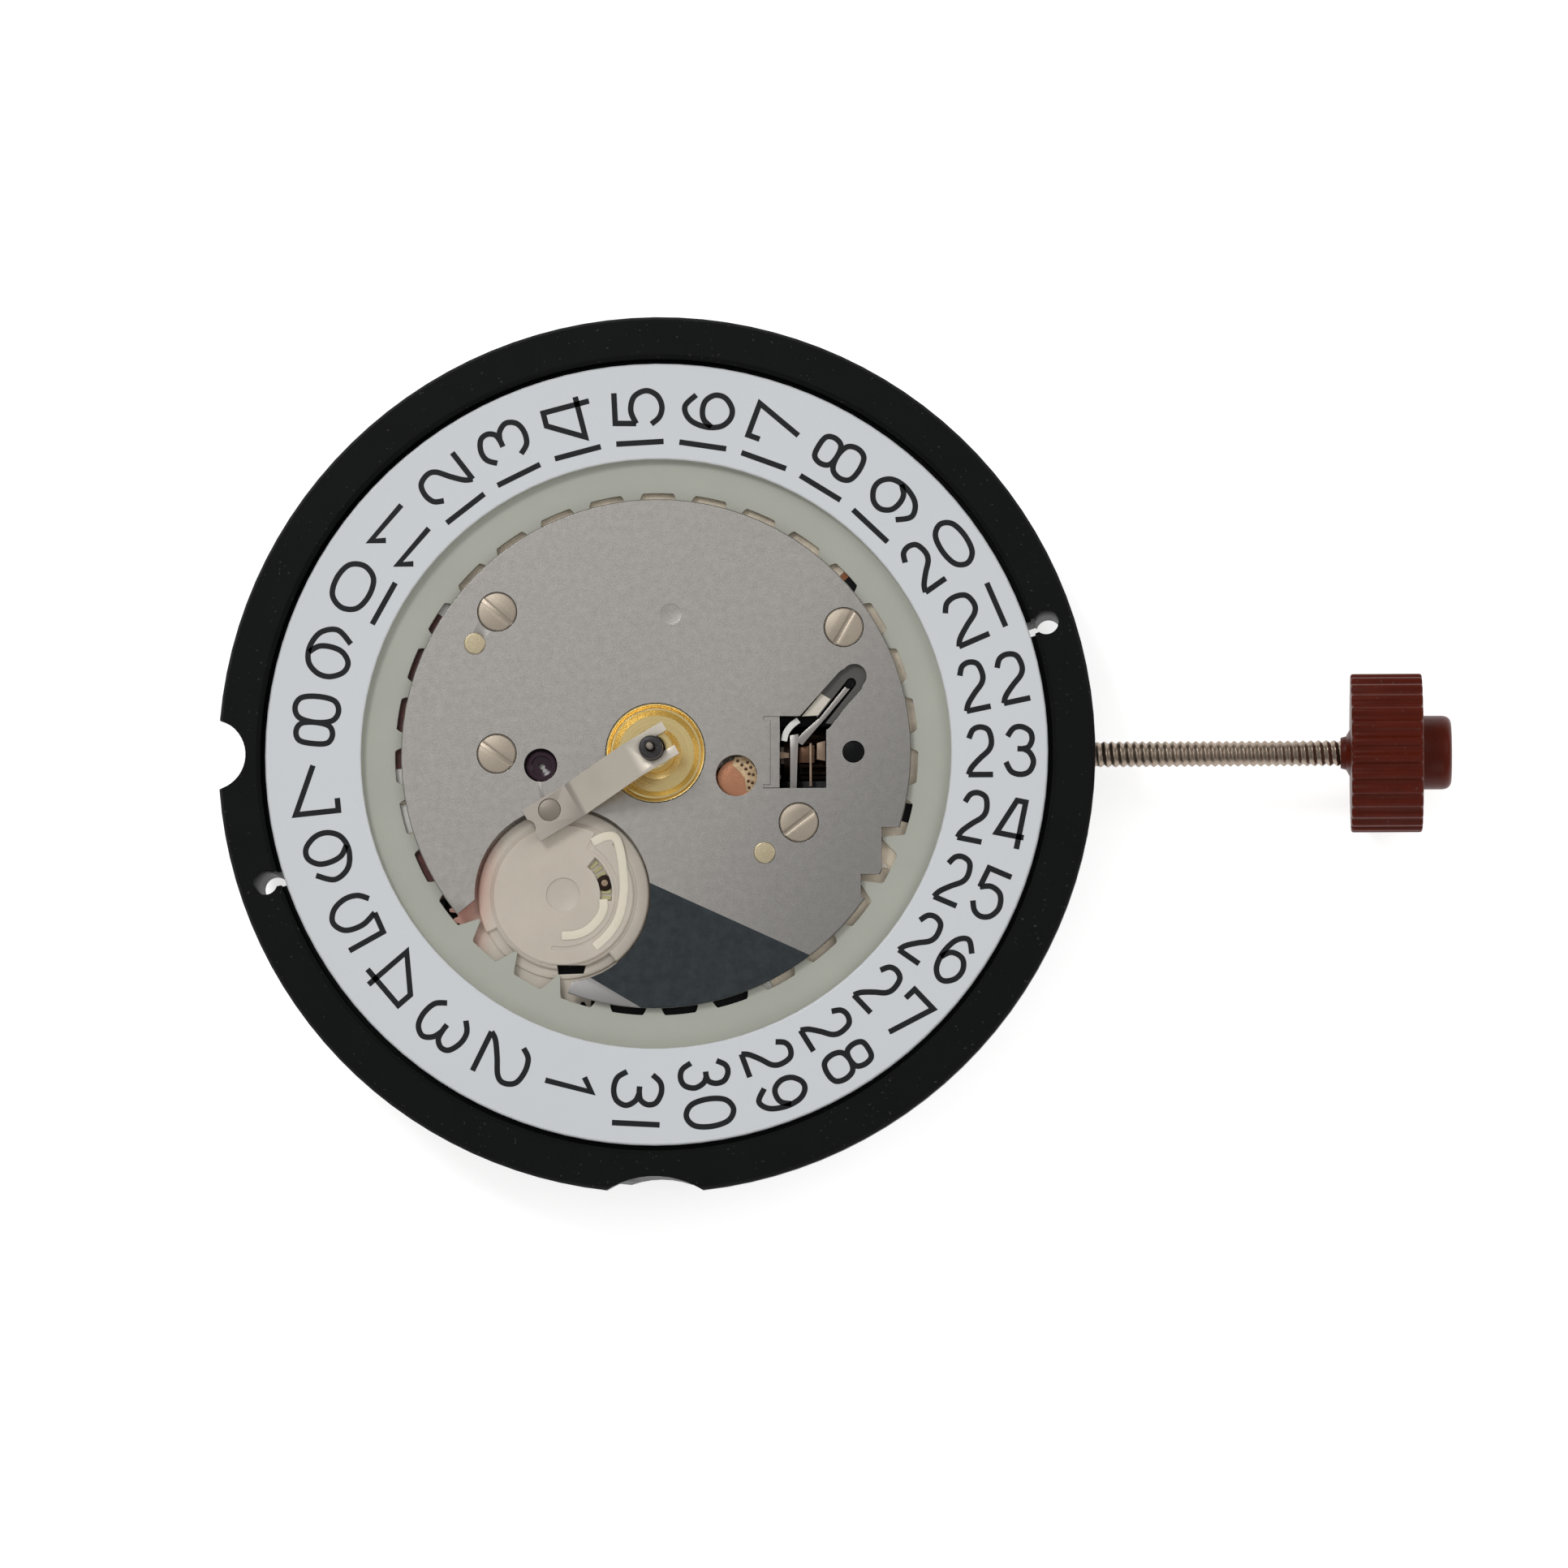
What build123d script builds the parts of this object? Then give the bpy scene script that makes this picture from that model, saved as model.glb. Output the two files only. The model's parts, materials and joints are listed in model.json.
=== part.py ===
from build123d import *
from math import atan2, cos, degrees, hypot, radians, sin, tan
import os

# Quartz watch movement, 11 1/2 lignes, with centre seconds and a date ring.
# Millimetres. The origin is on the axis of the hands, at the back face.
# +X runs along the stem to the crown and +Z points to the dial.

os.makedirs("parts", exist_ok=True)

# Common fits
overrun = 1.0
running_gap = 0.03
free_gap = 0.12
end_gap = 0.05
seat_gap = 0.02

# Heights of the layers, from the back face up to the dial seat
seat_z = 3.0
flange_thickness = 0.5
ring_floor_z = 2.36
plate_bottom_z = 2.63
plate_thickness = 0.2
motion_floor_z = 1.86
train_roof_z = 1.7
back_floor_z = 0.33

# Main plate
seat_radius = 13.1
seat_lip = 0.3
rim_wall = 0.95
back_wall = 0.85
barrel_radius = seat_radius - seat_lip
recess_radius = barrel_radius - rim_wall
back_recess_radius = barrel_radius - back_wall
recess_chamfer = 0.12
flange_chamfer = 0.1
dial_foot_radius = 0.37
dial_foot_inset = 0.83
dial_foot_pcr = seat_radius - dial_foot_inset
dial_foot_slot = 0.44
dial_foot_angle = 18.2
left_notch_radius = 1.07
left_notch_depth = 0.83
bottom_notch_radius = 2.7
bottom_notch_depth = 0.49
post_radius = 0.31
post_x = 5.91

# Date ring
ring_side_gap = 0.15
white_band_width = 2.89
lower_band_width = 0.99
ring_tooth_height = 0.59
ring_outer_radius = recess_radius - ring_side_gap
ring_step_radius = ring_outer_radius - white_band_width
ring_root_radius = ring_step_radius - lower_band_width
ring_tip_radius = ring_root_radius - ring_tooth_height
deck_side_gap = 0.18
deck_radius = ring_tip_radius - deck_side_gap
ring_flare = 0.06
ring_top_drop = 0.11
ring_band_thickness = 0.32
ring_tooth_count = 31
ring_tooth_phase = 165.1
ring_tooth_base_share = 0.43
ring_tooth_neck_share = 0.37
ring_tooth_tip_share = 0.06
ring_edge = 0.05

# Calendar plate that holds the ring down
plate_side_gap = 0.2
plate_radius = ring_root_radius - plate_side_gap
plate_chamfer = 0.03
hour_window_radius = 1.5
jewel_window_radius = 0.5
copper_window_x = 2.42
copper_window_y = -0.69
copper_window_radius = 0.62
keyless_window_left = 3.22
keyless_window_right = 5.1
keyless_window_half = 1.08
slot_width = 0.85
slot_end_x = 5.78
slot_end_y = 2.08
slot_angle = 228.0
lug_radius = 0.52
date_window_radius = 2.63
date_window_cut_from = 219.0
date_window_cut_to = 250.0
jumper_notch_x = 6.74
jumper_notch_top = -2.25
jumper_notch_step = -3.65
jumper_notch_low_x = 6.12
jumper_notch_low = -4.35
tab_reach = 0.4
tab_depth = 0.4
tab_side_gap = 0.12
dimple_x = 0.45
dimple_y = 4.15
dimple_radius = 0.32
dimple_depth = 0.05

# Screws and pins of the calendar plate
screw_head_radius = 0.58
screw_head_thickness = 0.24
screw_shank_radius = 0.28
screw_length = 1.1
plate_screw_length = 0.65
low_head_thickness = 0.18
screw_slot_width = 0.12
screw_slot_depth = 0.09
screw_chamfer = 0.04
thread_gap = 0.01
screw_head_stand = 0.05
plate_screw_places = ((-4.75, 4.26), (5.62, 3.73), (-4.75, 0.0), (4.28, -2.1))
plate_screw_slot_angles = (-40.0, 60.0, -35.0, 38.0)
pin_radius = 0.32
pin_length = 0.95
pin_stand = 0.06
pin_places = ((-5.42, 3.31), (3.26, -3.0))

# Hand posts
seconds_radius = 0.09
seconds_seat_radius = 0.1
seconds_seat_z = 4.72
seconds_tip_z = 5.2
minute_pipe_radius = 0.33
minute_seat_radius = 0.35
minute_seat_z = 4.26
minute_pipe_z = 4.7
hour_pipe_radius = 0.6
hour_pipe_z = 4.05
hour_pipe_bore = 0.38
pipe_chamfer = 0.05
tip_chamfer = 0.03

# Motion work
motion_module = 0.105
cannon_leaves = 10
minute_wheel_teeth = 30
minute_pinion_leaves = 8
hour_wheel_teeth = 32
date_wheel_teeth = 64
minute_wheel_angle = -16.0
date_wheel_angle = 236.66
wheel_thickness = 0.14
hour_wheel_z = 2.14
hour_rim_radius = 1.46
hour_rim_width = 0.16
hour_dish_depth = 0.12
hour_dish_z = 2.66
minute_wheel_z = 1.92
cannon_leaf_top = 2.1
minute_pinion_top = 2.3
motion_stud_radius = 0.2

# Date driving wheel
date_disc_radius = 2.5
date_disc_top_z = 2.34
date_boss_radius = 2.15
date_boss_top_z = 2.56
date_hub_radius = 0.34
date_post_top_z = 2.42
date_arm_outer = 2.2
date_arm_inner = 1.62
date_arm_slot = 0.14
date_end_slot = 0.22
date_arm_from = -100.0
date_arm_to = 60.0
date_boss_chamfer = 0.08
date_finger_width = 0.3
date_finger_turn = 10.0
date_finger_from = 1.95
date_finger_reach = 2.45
date_floor_z = 2.06

# Keeper that holds down the hour wheel
keeper_width = 1.09
keeper_thickness = 0.12
keeper_angle = 30.4
keeper_tail = 0.72
keeper_flat = 0.75
keeper_fork_reach = 1.02
keeper_rivet_radius = 0.34
keeper_rivet_offset = 0.13
keeper_rivet_reach = 3.58
keeper_lift = 0.06
keeper_fork_slot = 0.5
rivet_sink = 0.04

# Tooth form, as shares of the module and of the pitch
tooth_tip_share = 0.95
tooth_root_share = 1.2
tooth_root_width_share = 0.33
tooth_tip_width_share = 0.13

# Time train
train_module = 0.0824
seconds_module = 0.0986
rotor_module = 0.048
seconds_wheel_teeth = 50
intermediate_leaves = 20
intermediate_teeth = 72
rotor_leaves = 6
third_wheel_teeth = 60
seconds_pinion_leaves = 8
centre_wheel_teeth = 64
third_pinion_leaves = 8
third_angle = 60.0
jewel_angle = 185.83
rotor_angle = 215.0
seconds_wheel_z = 0.5
seconds_pivot_z = 0.15
seconds_pinion_top = 1.1
third_pinion_top = 1.45
rotor_pinion_z = 0.8
intermediate_wheel_z = 0.86
third_wheel_z = 0.84
centre_wheel_z = 1.2
train_thickness = 0.12
arbor_radius = 0.16
pivot_radius = 0.08
pivot_length = 0.1
jewel_radius = 0.46
jewel_body_radius = 0.28
jewel_shoulder_z = 2.36
jewel_hole_radius = 0.1
jewel_sink_radius = 0.3
jewel_sink_z = 2.45
jewel_top_z = 2.6
jewel_pivot_top = 1.95
jewel_cup = 0.12
spoke_count = 4
spoke_width = 0.3
wheel_rim = 0.34

# Stepping motor
magnet_radius = 0.8
magnet_thickness = 0.4
magnet_z = 1.16
stator_bore = 1.05
stator_ring = 1.6
stator_width = 1.5
stator_elbow_reach = 2.4
stator_z = 1.1
stator_thickness = 0.4
stator_notch_radius = 0.16
motor_screw_top_z = 1.9
coil_x = -5.8
coil_y = -7.6
coil_angle = -35.0
core_length = 10.0
core_width = 1.1
core_thickness = 0.4
core_end_width = 2.0
winding_end_gap = 1.5
winding_length = core_length - 2 * winding_end_gap
winding_width = 2.1
winding_thickness = 1.1
winding_corner = 0.4

# Battery
battery_radius = 3.95
battery_height = 1.65
battery_z = 0.2
battery_inset = 4.6
battery_distance = barrel_radius - battery_inset
battery_angle = 115.0
battery_rim = 0.85
battery_cap_radius = battery_radius - battery_rim
battery_cap_height = 0.35
battery_gasket_width = 0.2
battery_fillet = 0.25
battery_pocket_gap = 0.1
battery_roof_z = 2.1
contact_width = 1.2
contact_thickness = 0.08

# Circuit
board_thickness = 0.12
board_corner = 0.3
board_back_z = 0.5
board_side_gap = 0.25
board_outer_radius = back_recess_radius - board_side_gap
board_from = -78.0
board_to = -14.0
board_inner_radius = 4.6
crystal_radius = 0.75
crystal_length = 5.2
crystal_inset = 3.5
crystal_distance = barrel_radius - crystal_inset
crystal_angle = -40.0
crystal_z = 0.95
crystal_fillet = 0.2
chip_radius = 1.25
chip_height = 0.4
chip_inset = 4.5
chip_distance = barrel_radius - chip_inset
chip_angle = -63.0

# Bridge and battery clamp
bridge_margin = 0.75
bridge_z = 0.0
bridge_screw_slot_angles = (20.0, -50.0, 75.0, 5.0)
motor_screw_slot_angles = (-35.0, 15.0)
strap_screw_slot_angle = 65.0
cover_screw_slot_angles = (-20.0, 40.0)
bridge_screw_places = ((3.3, -1.95), (-2.9, 2.65), (4.6, 3.2), (-7.05, 0.2))
strap_width = 2.2
strap_thickness = 0.15
strap_reach = 5.7
strap_end_radius = 1.1

# Stem, crown and keyless work
stem_z = 1.5
stem_pilot_radius = 0.22
stem_square = 0.5
stem_bearing_radius = 0.6
stem_groove_radius = 0.34
stem_neck_radius = 0.31
stem_thread_radius = 0.39
stem_pilot_start = 2.85
pilot_hole_start = 2.75
stem_square_start = 3.5
stem_bearing_start = 6.1
stem_groove_start = 7.3
stem_groove_length = 0.75
stem_bearing_inset = 0.2
stem_thread_inset = 0.05
stem_reach = 7.58
stem_bearing_end = barrel_radius - stem_bearing_inset
stem_thread_start = seat_radius - stem_thread_inset
crown_start = seat_radius + stem_reach
crown_length = 2.12
crown_radius = 2.37
crown_rib_count = 29
crown_rib_depth = 0.12
crown_rib_share = 0.45
crown_hub_radius = 1.1
crown_hub_length = 0.87
crown_hub_fillet = 0.3
crown_boss_radius = 0.75
crown_boss_length = 0.3
crown_boss_taper = 30.0
crown_bore_depth = 1.2
stem_travel = 0.9
pinion_start = 3.8
pinion_length = 1.4
pinion_radius = 0.7
pinion_groove_radius = 0.48
pinion_groove_start = 0.16
pinion_groove_length = 0.3
pinion_tooth_count = 12
yoke_width = 0.22
yoke_thickness = 0.2
yoke_z = 2.38
yoke_pivot_radius = 0.32
yoke_post_radius = 0.17
lever_z = 0.42
lever_thickness = 0.22
lever_width = 0.8
lever_pivot_x = 7.4
lever_pivot_y = 3.4
lever_pivot_radius = 0.6
lever_post_radius = 0.3
lever_pin_radius = 0.24
lever_dimple_radius = 0.25
lever_dimple_reach = 1.6
lever_dimple_depth = 0.08
cover_thickness = 0.15
cover_screw_places = ((10.4, 2.3), (8.7, 5.6))

# Jumper spring of the date ring
jumper_z = 2.41
jumper_thickness = 0.16
jumper_width = 0.22
jumper_nose_angle = 333.5
jumper_nose_depth = 0.1
jumper_nose_radius = ring_root_radius - jumper_nose_depth
jumper_nose_width = 0.7
jumper_ring_radius = 0.52
jumper_elbow_radius = 6.55
jumper_room = 1.5


def polar(radius, angle, origin=(0, 0)):
    """Point at a radius and an angle in degrees from an origin."""
    return (origin[0] + radius * cos(radians(angle)), origin[1] + radius * sin(radians(angle)))


def direction(start, end):
    """Angle in degrees from one point to another."""
    return degrees(atan2(end[1] - start[1], end[0] - start[0]))


def distance(start, end):
    """Length between two points."""
    return hypot(end[0] - start[0], end[1] - start[1])


def export(piece, name):
    """Label a finished piece and write it under its own name."""
    piece.part.label = name
    export_step(piece.part, f"parts/{name}.step")


def disc(centre, radius, bottom, top, mode=Mode.ADD):
    """Add or cut a round stage between two heights of the part in hand."""
    with BuildSketch(Plane.XY.offset(bottom)) as outline:
        with Locations(centre):
            Circle(radius)
    extrude(outline.sketch, amount=top - bottom, mode=mode)


def bar(start, end, width, bottom, top, mode=Mode.ADD):
    """Add or cut a round-ended bar between two points and two heights."""
    with BuildSketch(Plane.XY.offset(bottom)) as outline:
        middle = ((start[0] + end[0]) / 2, (start[1] + end[1]) / 2)
        with Locations(Location(middle + (0,), (0, 0, direction(start, end)))):
            SlotCenterToCenter(distance(start, end), width)
    extrude(outline.sketch, amount=top - bottom, mode=mode)


def channel(start, end, width, bottom, top, mode=Mode.ADD):
    """Add or cut a square-ended bar between two points and two heights."""
    with BuildSketch(Plane.XY.offset(bottom)) as outline:
        middle = ((start[0] + end[0]) / 2, (start[1] + end[1]) / 2)
        with Locations(Location(middle + (0,), (0, 0, direction(start, end)))):
            Rectangle(distance(start, end), width)
    extrude(outline.sketch, amount=top - bottom, mode=mode)


def rod(centre_y, centre_z, radius, start, end, mode=Mode.ADD):
    """Add or cut a round stage along the stem, between two places on X."""
    with BuildSketch(Plane.YZ.offset(start)) as outline:
        with Locations((centre_y, centre_z)):
            Circle(radius)
    extrude(outline.sketch, amount=end - start, mode=mode)


def gear_points(teeth, module, phase, centre=(0, 0)):
    """Outline of straight-sided teeth, four points to a tooth."""
    pitch = 360 / teeth
    pitch_radius = module * teeth / 2
    tip_radius = pitch_radius + tooth_tip_share * module
    root_radius = pitch_radius - tooth_root_share * module
    points = []
    for index in range(teeth):
        middle = phase + index * pitch
        for radius, side_share in (
            (root_radius, -tooth_root_width_share),
            (tip_radius, -tooth_tip_width_share),
            (tip_radius, tooth_tip_width_share),
            (root_radius, tooth_root_width_share),
        ):
            points.append(polar(radius, middle + side_share * pitch, centre))
    return points


def gear(teeth, module, phase, centre, bottom, top):
    """Add a toothed disc to the part in hand."""
    with BuildSketch(Plane.XY.offset(bottom)) as outline:
        with BuildLine():
            Polyline(*gear_points(teeth, module, phase, centre), close=True)
        make_face()
    extrude(outline.sketch, amount=top - bottom)


def spokes(centre, rim_inner, hub_outer, bottom, top):
    """Cut the openings between the spokes of a wheel."""
    with BuildSketch(Plane.XY.offset(bottom)) as openings:
        with Locations(centre):
            Circle(rim_inner)
            Circle(hub_outer, mode=Mode.SUBTRACT)
            for index in range(spoke_count // 2):
                Rectangle(2 * rim_inner, spoke_width, rotation=index * 360 / spoke_count, mode=Mode.SUBTRACT)
    extrude(openings.sketch, amount=top - bottom, mode=Mode.SUBTRACT)


def arc_slot(centre, radius, width, start, end, bottom, top, mode=Mode.ADD):
    """Add or cut a curved slot around a centre, between two angles and two heights."""
    with BuildLine() as path:
        CenterArc(centre, radius, start, end - start)
    with BuildSketch(Plane.XY.offset(bottom)) as outline:
        SlotArc(path.edges()[0], width)
    extrude(outline.sketch, amount=top - bottom, mode=mode)


def mesh_phase(teeth, other_teeth, other_phase, angle):
    """Phase that puts a gap on the tooth of a gear which lies at the opposite angle."""
    offset_share = (angle - other_phase) * other_teeth / 360 - 1 / 2
    return angle + 180 + offset_share * 360 / teeth


def block(x_from, x_to, y_from, y_to, bottom, top, mode=Mode.ADD):
    """Add or cut a box between two places on each axis."""
    with BuildSketch(Plane.XY.offset(bottom)) as outline:
        with Locations(((x_from + x_to) / 2, (y_from + y_to) / 2)):
            Rectangle(x_to - x_from, y_to - y_from)
    extrude(outline.sketch, amount=top - bottom, mode=mode)


# Places and sizes that follow from the ones above
origin = (0, 0)
plate_top_z = plate_bottom_z + plate_thickness
bridge_top_z = back_floor_z
bridge_thickness = bridge_top_z - bridge_z
strap_z = battery_z - strap_thickness
cover_z = back_floor_z - cover_thickness
ring_bottom_z = ring_floor_z + running_gap
ring_tooth_top_z = plate_bottom_z - end_gap
ring_top_z = seat_z - ring_top_drop
ring_pitch = 360 / ring_tooth_count

motion_distance = motion_module * (cannon_leaves + minute_wheel_teeth) / 2
date_distance = motion_module * (hour_wheel_teeth + date_wheel_teeth) / 2
minute_centre = polar(motion_distance, minute_wheel_angle)
date_centre = polar(date_distance, date_wheel_angle)

third_distance = train_module * (seconds_pinion_leaves + third_wheel_teeth) / 2
centre_module = 2 * third_distance / (third_pinion_leaves + centre_wheel_teeth)
intermediate_distance = seconds_module * (seconds_wheel_teeth + intermediate_leaves) / 2
rotor_distance = rotor_module * (intermediate_teeth + rotor_leaves) / 2
third_centre = polar(third_distance, third_angle)
jewel_centre = polar(intermediate_distance, jewel_angle)
rotor_centre = polar(rotor_distance, rotor_angle, jewel_centre)


def tip_radius(teeth, module):
    """Radius over the tips of a toothed disc."""
    return module * (teeth / 2 + tooth_tip_share)


hour_tip = tip_radius(hour_wheel_teeth, motion_module)
minute_tip = tip_radius(minute_wheel_teeth, motion_module)
date_tip = tip_radius(date_wheel_teeth, motion_module)
seconds_tip = tip_radius(seconds_wheel_teeth, seconds_module)
intermediate_tip = tip_radius(intermediate_teeth, rotor_module)
third_tip = tip_radius(third_wheel_teeth, train_module)
centre_tip = tip_radius(centre_wheel_teeth, centre_module)

coil_centre = (coil_x, coil_y)
coil_start = polar(-core_length / 2, coil_angle, coil_centre)
coil_end = polar(core_length / 2, coil_angle, coil_centre)
stator_elbow = polar(stator_elbow_reach, coil_angle + 90, coil_end)
stator_path = ((coil_start, rotor_centre), (coil_end, stator_elbow), (stator_elbow, rotor_centre))
core_z = stator_z - core_thickness
winding_middle_z = stator_z - core_thickness / 2
winding_z = winding_middle_z - winding_thickness / 2

battery_centre = polar(battery_distance, battery_angle)
crystal_centre = polar(crystal_distance, crystal_angle)
chip_centre = polar(chip_distance, chip_angle)
crystal_start = polar((crystal_radius - crystal_length) / 2, crystal_angle + 90, crystal_centre)
crystal_end = polar((crystal_length - crystal_radius) / 2, crystal_angle + 90, crystal_centre)

strap_screw_place = (battery_centre[0] + strap_reach, battery_centre[1])
lever_pivot = (lever_pivot_x, lever_pivot_y)
lever_pin = (stem_groove_start + stem_groove_length / 2, 0)
lever_arm = distance(lever_pivot, lever_pin)
lever_rest_angle = direction(lever_pivot, lever_pin)
lever_swing = degrees(stem_travel / lever_arm)
slot_end = (slot_end_x, slot_end_y)
yoke_blade_x = pinion_start + pinion_groove_start + pinion_groove_length / 2
keeper_top_z = hour_pipe_z + keeper_lift + keeper_thickness
yoke_corner = (
    yoke_blade_x,
    slot_end_y + (yoke_blade_x - slot_end_x) * tan(radians(slot_angle)),
)
yoke_blade_end = (yoke_blade_x, -keyless_window_half + yoke_width / 2 + running_gap)
keeper_rivet_place = polar(-keeper_rivet_reach, keeper_angle)
keeper_rivet_place = polar(keeper_rivet_offset, keeper_angle + 90, keeper_rivet_place)
jumper_anchor = pin_places[1]
jumper_elbow = polar(jumper_elbow_radius, jumper_nose_angle)


# Main plate, black moulded plastic
def back_pockets():
    """Cut the train, motor, battery, circuit and keyless pockets from the back."""
    disc(origin, back_recess_radius, -overrun, back_floor_z, Mode.SUBTRACT)
    disc(origin, seconds_tip + free_gap, -overrun, centre_wheel_z - free_gap, Mode.SUBTRACT)
    disc(origin, centre_tip + free_gap, -overrun, train_roof_z, Mode.SUBTRACT)
    disc(third_centre, third_tip + free_gap, -overrun, train_roof_z, Mode.SUBTRACT)
    disc(jewel_centre, intermediate_tip + free_gap, -overrun, stator_z, Mode.SUBTRACT)
    disc(jewel_centre, arbor_radius + free_gap, -overrun, train_roof_z, Mode.SUBTRACT)
    disc(rotor_centre, stator_ring + free_gap, -overrun, stator_z + stator_thickness, Mode.SUBTRACT)
    disc(rotor_centre, stator_bore, -overrun, train_roof_z, Mode.SUBTRACT)
    for start, end in stator_path:
        bar(start, end, stator_width + 2 * free_gap, -overrun, stator_z + stator_thickness, Mode.SUBTRACT)
    for core_tip in (coil_start, coil_end):
        disc(core_tip, core_end_width / 2 + free_gap, -overrun, stator_z + stator_thickness, Mode.SUBTRACT)
    bar(coil_start, coil_end, winding_width + 2 * free_gap, -overrun,
        winding_z + winding_thickness + end_gap, Mode.SUBTRACT)
    disc(battery_centre, battery_radius + battery_pocket_gap, -overrun, battery_roof_z, Mode.SUBTRACT)
    board_pocket()
    lever_pocket()


def board_sector(inner, outer, start, end, bottom, top, mode=Mode.ADD):
    """Add or cut the ring sector that the circuit board fills."""
    with BuildSketch(Plane.XY.offset(bottom)) as sector:
        with BuildLine():
            rise = CenterArc(origin, outer, start, end - start)
            Line(rise @ 1, polar(inner, end))
            fall = CenterArc(origin, inner, end, start - end)
            Line(fall @ 1, rise @ 0)
        make_face()
    extrude(sector.sketch, amount=top - bottom, mode=mode)


def board_pocket():
    """Cut the step for the board and the trough for the crystal and the chip."""
    gap_angle = degrees(free_gap / board_inner_radius)
    board_sector(board_inner_radius - free_gap, board_outer_radius + free_gap, board_from - gap_angle,
                 board_to + gap_angle, -overrun, board_back_z + board_thickness, Mode.SUBTRACT)
    bar(crystal_start, crystal_end, 2 * crystal_radius + 2 * free_gap, -overrun,
        crystal_z + crystal_radius + end_gap, Mode.SUBTRACT)


def lever_pocket():
    """Cut the room in which the setting lever swings, with the slot for its pin."""
    disc(lever_pivot, lever_pivot_radius + free_gap, -overrun, lever_z + lever_thickness + end_gap,
         Mode.SUBTRACT)
    for share in (0, 1 / 2, 1):
        reach = polar(lever_arm, lever_rest_angle + share * lever_swing, lever_pivot)
        bar(lever_pivot, reach, lever_width + 2 * free_gap, -overrun,
            lever_z + lever_thickness + end_gap, Mode.SUBTRACT)
        disc(reach, lever_pin_radius + free_gap, -overrun, stem_z, Mode.SUBTRACT)


def dial_pockets():
    """Cut the motion work, date wheel, jumper and keyless pockets from the dial side."""
    above = seat_z + overrun
    disc(origin, hour_tip + free_gap, motion_floor_z, above, Mode.SUBTRACT)
    disc(minute_centre, minute_tip + free_gap, motion_floor_z, above, Mode.SUBTRACT)
    disc(date_centre, date_tip + free_gap, date_floor_z, above, Mode.SUBTRACT)
    block(pinion_start - free_gap, pinion_start + pinion_length + free_gap,
          -pinion_radius - free_gap, pinion_radius + free_gap,
          stem_z - pinion_radius - free_gap, above, Mode.SUBTRACT)
    block(keyless_window_left - seat_gap, keyless_window_right, -keyless_window_half, keyless_window_half,
          plate_bottom_z - tab_depth - end_gap, above, Mode.SUBTRACT)
    bar(slot_end, yoke_corner, slot_width - 2 * free_gap, yoke_z - seat_gap, above, Mode.SUBTRACT)
    bar(jumper_anchor, jumper_elbow, jumper_room, jumper_z - seat_gap, above, Mode.SUBTRACT)
    bar(jumper_elbow, polar(deck_radius + free_gap, jumper_nose_angle), jumper_room,
        jumper_z - seat_gap, above, Mode.SUBTRACT)


def rim_cuts():
    """Cut the dial foot keyholes and the two notches of the rim."""
    for angle in (dial_foot_angle, dial_foot_angle + 180):
        hole = polar(dial_foot_pcr, angle)
        disc(hole, dial_foot_radius, -overrun, seat_z + overrun, Mode.SUBTRACT)
        inner_end = polar(recess_radius - dial_foot_slot, angle)
        channel(hole, inner_end, dial_foot_slot, -overrun, seat_z + overrun, Mode.SUBTRACT)
    left_notch = (-seat_radius + left_notch_depth - left_notch_radius, 0)
    bottom_notch = (0, -seat_radius + bottom_notch_depth - bottom_notch_radius)
    disc(left_notch, left_notch_radius, -overrun, seat_z + overrun, Mode.SUBTRACT)
    disc(bottom_notch, bottom_notch_radius, -overrun, seat_z + overrun, Mode.SUBTRACT)


def screw_hole(place, bottom, top):
    """Cut the hole for a screw shank."""
    disc(place, screw_shank_radius, bottom, top, Mode.SUBTRACT)


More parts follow.
